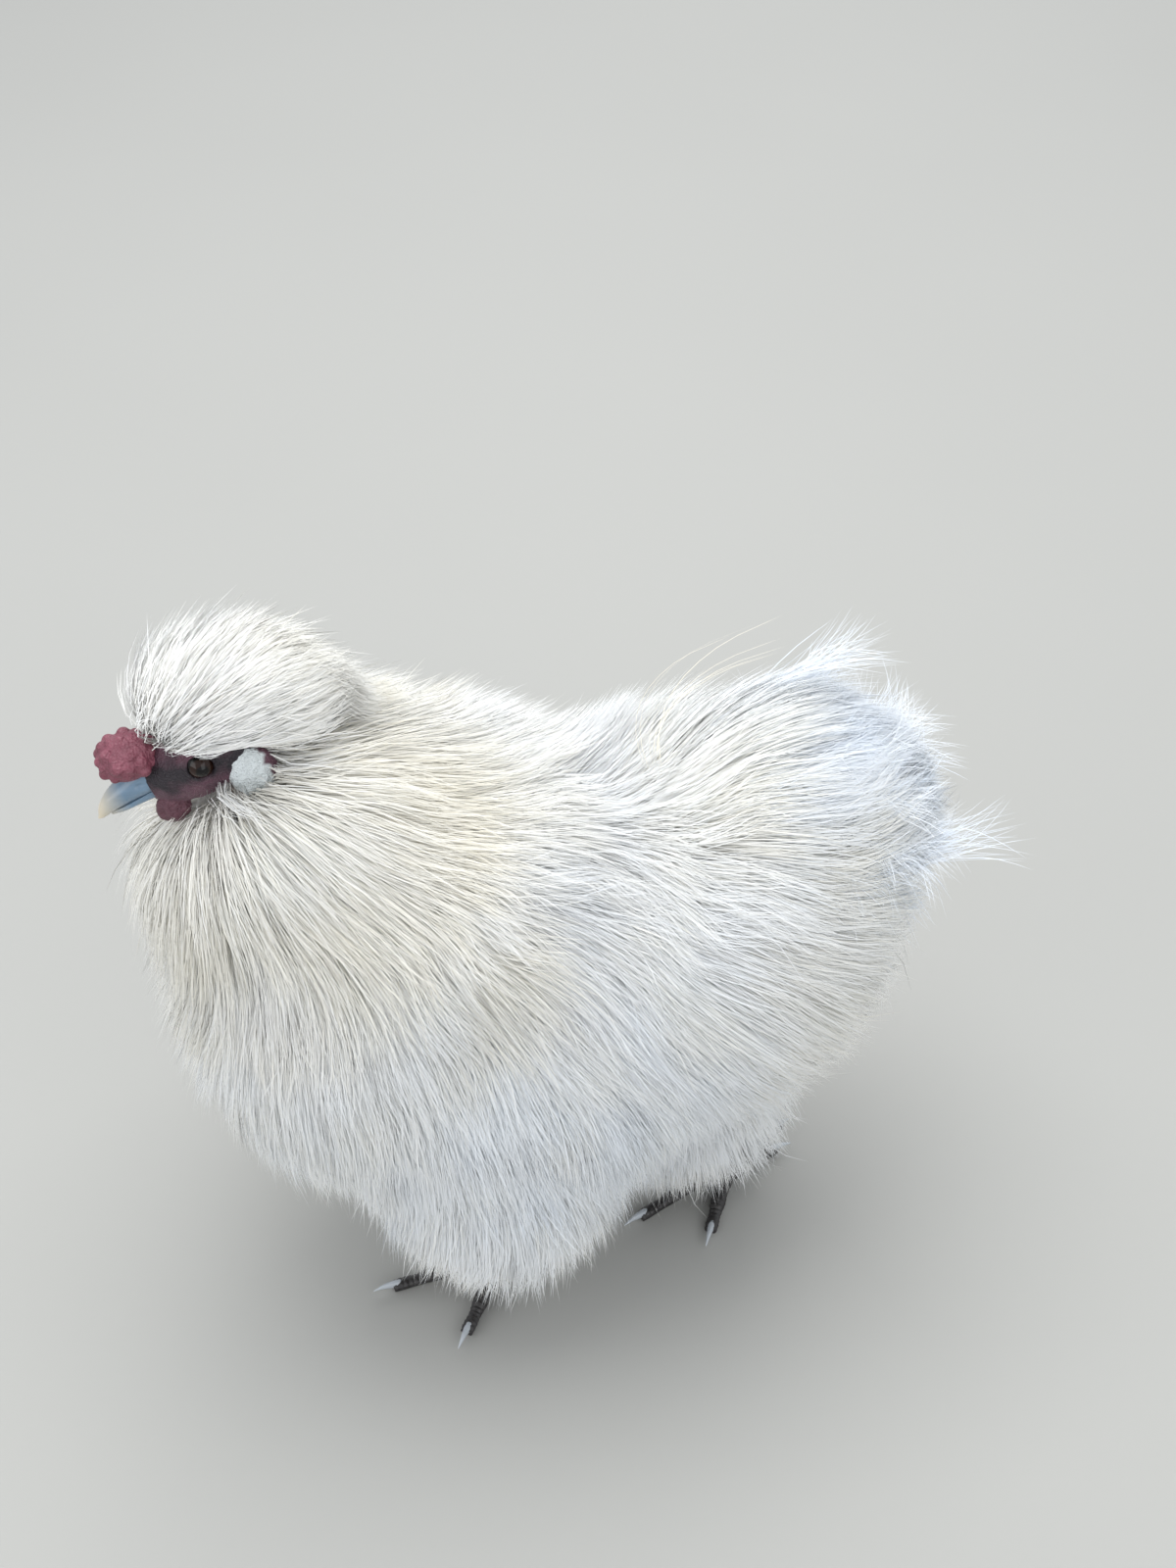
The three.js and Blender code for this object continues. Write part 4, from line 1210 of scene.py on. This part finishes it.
class MakeCoat(bpy.types.Operator):
    """Make the silky coat, part by part"""

    bl_idname = "silkie.coat"
    bl_label = "Coat"

    def execute(self, context):
        settings = context.scene.silkie_coat
        material = plumage_finish(context.scene.silkie_colours)
        roots = self.roots()
        _, _, shares = merged(roots)
        owner = shares.argmax(-1)
        names = list(GROWTHS)
        for seed, (name, (growth, side, count)) in enumerate(COAT_PIECES.items()):
            rng = np.random.default_rng(COAT_SEED + seed)
            own = roots[(owner == names.index(growth)) & (roots[:, 1] * side >= 0)]
            wanted = int(count * settings.share) // settings.per_clump
            own = own[rng.choice(len(own), wanted, replace=wanted > len(own))]
            own = own + rng.normal(0, SCATTER, own.shape)
            clumps = grow(own, GROWTHS[growth].form, rng)
            grown = strands(clumps, rng, settings.per_clump, settings.clump / MM, settings.stations)
            grown = self.off_the_face(*grown)
            mesh = ribbon_mesh(name, *grown, settings.width / MM, rng)
            dress(name, mesh, material)
        rng = np.random.default_rng(FEATHER_SEED)
        loose = (
            ("tail_brushes", tail_brushes, settings.stations),
            ("long_hairs", long_hairs, HAIR_STATIONS),
        )
        for name, made_of, stations in loose:
            mesh = ribbon_mesh(name, *made_of(stations, rng), BRUSH_WIDTH, rng)
            dress(name, mesh, material)
        return {"FINISHED"}

    @staticmethod
    def roots():
        """The skin's own points, in millimetres, but for those of the bare face."""
        skin = bpy.data.objects["skin"].data
        points = np.empty(3 * len(skin.vertices), np.float32)
        skin.vertices.foreach_get("co", points)
        points = points.reshape(-1, 3).astype(float) / MM - SHIFT
        return points[~bare(points)]

    @staticmethod
    def off_the_face(points, normals, tints, place):
        """The strands that keep clear of the bare face."""
        clear = ~bare(points).any(-1)
        tints = {key: values[clear] for key, values in tints.items()}
        return points[clear], normals[clear], tints, place[clear]


CAMERA_AIM = (-49.6, -52.5, 200)  # millimetres on the bird
FLOOR_SIDE = 6  # metres, as are the lamps' places and sizes
SKY_COLOUR = (0.93, 0.96, 1, 1)
SKY_STRENGTH = 0.85
LAMPS_AIM = (0, 0, 0.15)
# Name, place, side and power in watts.
LAMPS = (
    ("overhead", (0.1, -0.2, 1.9), 1.4, 24),
    ("side", (-0.6, 1.9, 1.0), 1.4, 10),
    ("front", (1.7, 0.9, 0.8), 1.2, 9),
    ("back", (-0.6, -1.6, 1.2), 1.2, 7),
)


class MakeStage(bpy.types.Operator):
    """Set the floor, the lights and the camera"""

    bl_idname = "silkie.stage"
    bl_label = "Stage"

    def execute(self, context):
        scene = context.scene
        self.floor(scene)
        self.world(scene)
        self.lights(scene)
        self.camera(scene)
        return {"FINISHED"}

    @staticmethod
    def floor(scene):
        bpy.ops.mesh.primitive_plane_add(size=FLOOR_SIDE)
        floor = bpy.context.object
        floor.name = "floor"
        finish = Finish("pale floor", Roughness=0.9)
        colour = scene.silkie_colours.floor
        finish.colour(finish.mix(finish.noise(3, 2), colour, toned(colour, 0.96)))
        floor.data.materials.append(finish.material)

    @staticmethod
    def world(scene):
        world = bpy.data.worlds.new("soft daylight")
        world.use_nodes = True
        sky = world.node_tree.nodes["Background"]
        sky.inputs["Color"].default_value = SKY_COLOUR
        sky.inputs["Strength"].default_value = SKY_STRENGTH
        scene.world = world
        scene.view_settings.view_transform = "Standard"

    @staticmethod
    def lights(scene):
        middle = Vector(LAMPS_AIM)
        for name, place, size, power in LAMPS:
            light = bpy.data.lights.new(name, "AREA")
            light.size = size
            light.energy = power
            lamp = bpy.data.objects.new(name, light)
            lamp.location = place
            lamp.rotation_euler = (middle - lamp.location).to_track_quat("-Z", "Y").to_euler()
            scene.collection.objects.link(lamp)

    @staticmethod
    def camera(scene):
        stage = scene.silkie_stage
        turn, tilt = stage.azimuth, stage.elevation
        back = Vector((math.sin(turn) * math.cos(tilt), -math.cos(turn) * math.cos(tilt), math.sin(tilt)))
        aim = Vector(to_row(CAMERA_AIM))
        data = bpy.data.cameras.new("camera")
        data.lens = data.sensor_width / 2 / math.tan(stage.view_angle / 2)
        camera = bpy.data.objects.new("camera", data)
        camera.location = aim + back * stage.distance
        camera.rotation_euler = (-back).to_track_quat("-Z", "Y").to_euler()
        scene.collection.objects.link(camera)
        scene.camera = camera


class SilkiePanel(bpy.types.Panel):
    """The bird's settings and the steps that make it"""

    bl_idname = "VIEW3D_PT_silkie"
    bl_label = "Silkie cock"
    bl_space_type = "VIEW_3D"
    bl_region_type = "UI"
    bl_category = "Silkie"

    def draw(self, context):
        for group in (context.scene.silkie_coat, context.scene.silkie_colours, context.scene.silkie_stage):
            for key in group.__annotations__:
                self.layout.prop(group, key)
        for step in STEPS:
            self.layout.operator(step.bl_idname)


STEPS = (
    MakeSkin,
    MakeFace,
    MakeComb,
    MakeBill,
    MakeEyes,
    MakeLobes,
    MakeLegs,
    MakeClaws,
    MakeCoat,
    MakeStage,
)
GROUPS = {"silkie_coat": SilkieCoat, "silkie_colours": SilkieColours, "silkie_stage": SilkieStage}


def register():
    for cls in (*GROUPS.values(), *STEPS, SilkiePanel):
        bpy.utils.register_class(cls)
    for name, group in GROUPS.items():
        setattr(bpy.types.Scene, name, PointerProperty(type=group))


def unregister():
    for name in GROUPS:
        delattr(bpy.types.Scene, name)
    for cls in reversed((*GROUPS.values(), *STEPS, SilkiePanel)):
        bpy.utils.unregister_class(cls)


def main():
    register()
    for step in STEPS:
        family, name = step.bl_idname.split(".")
        getattr(getattr(bpy.ops, family), name)()


if __name__ == "__main__":
    main()
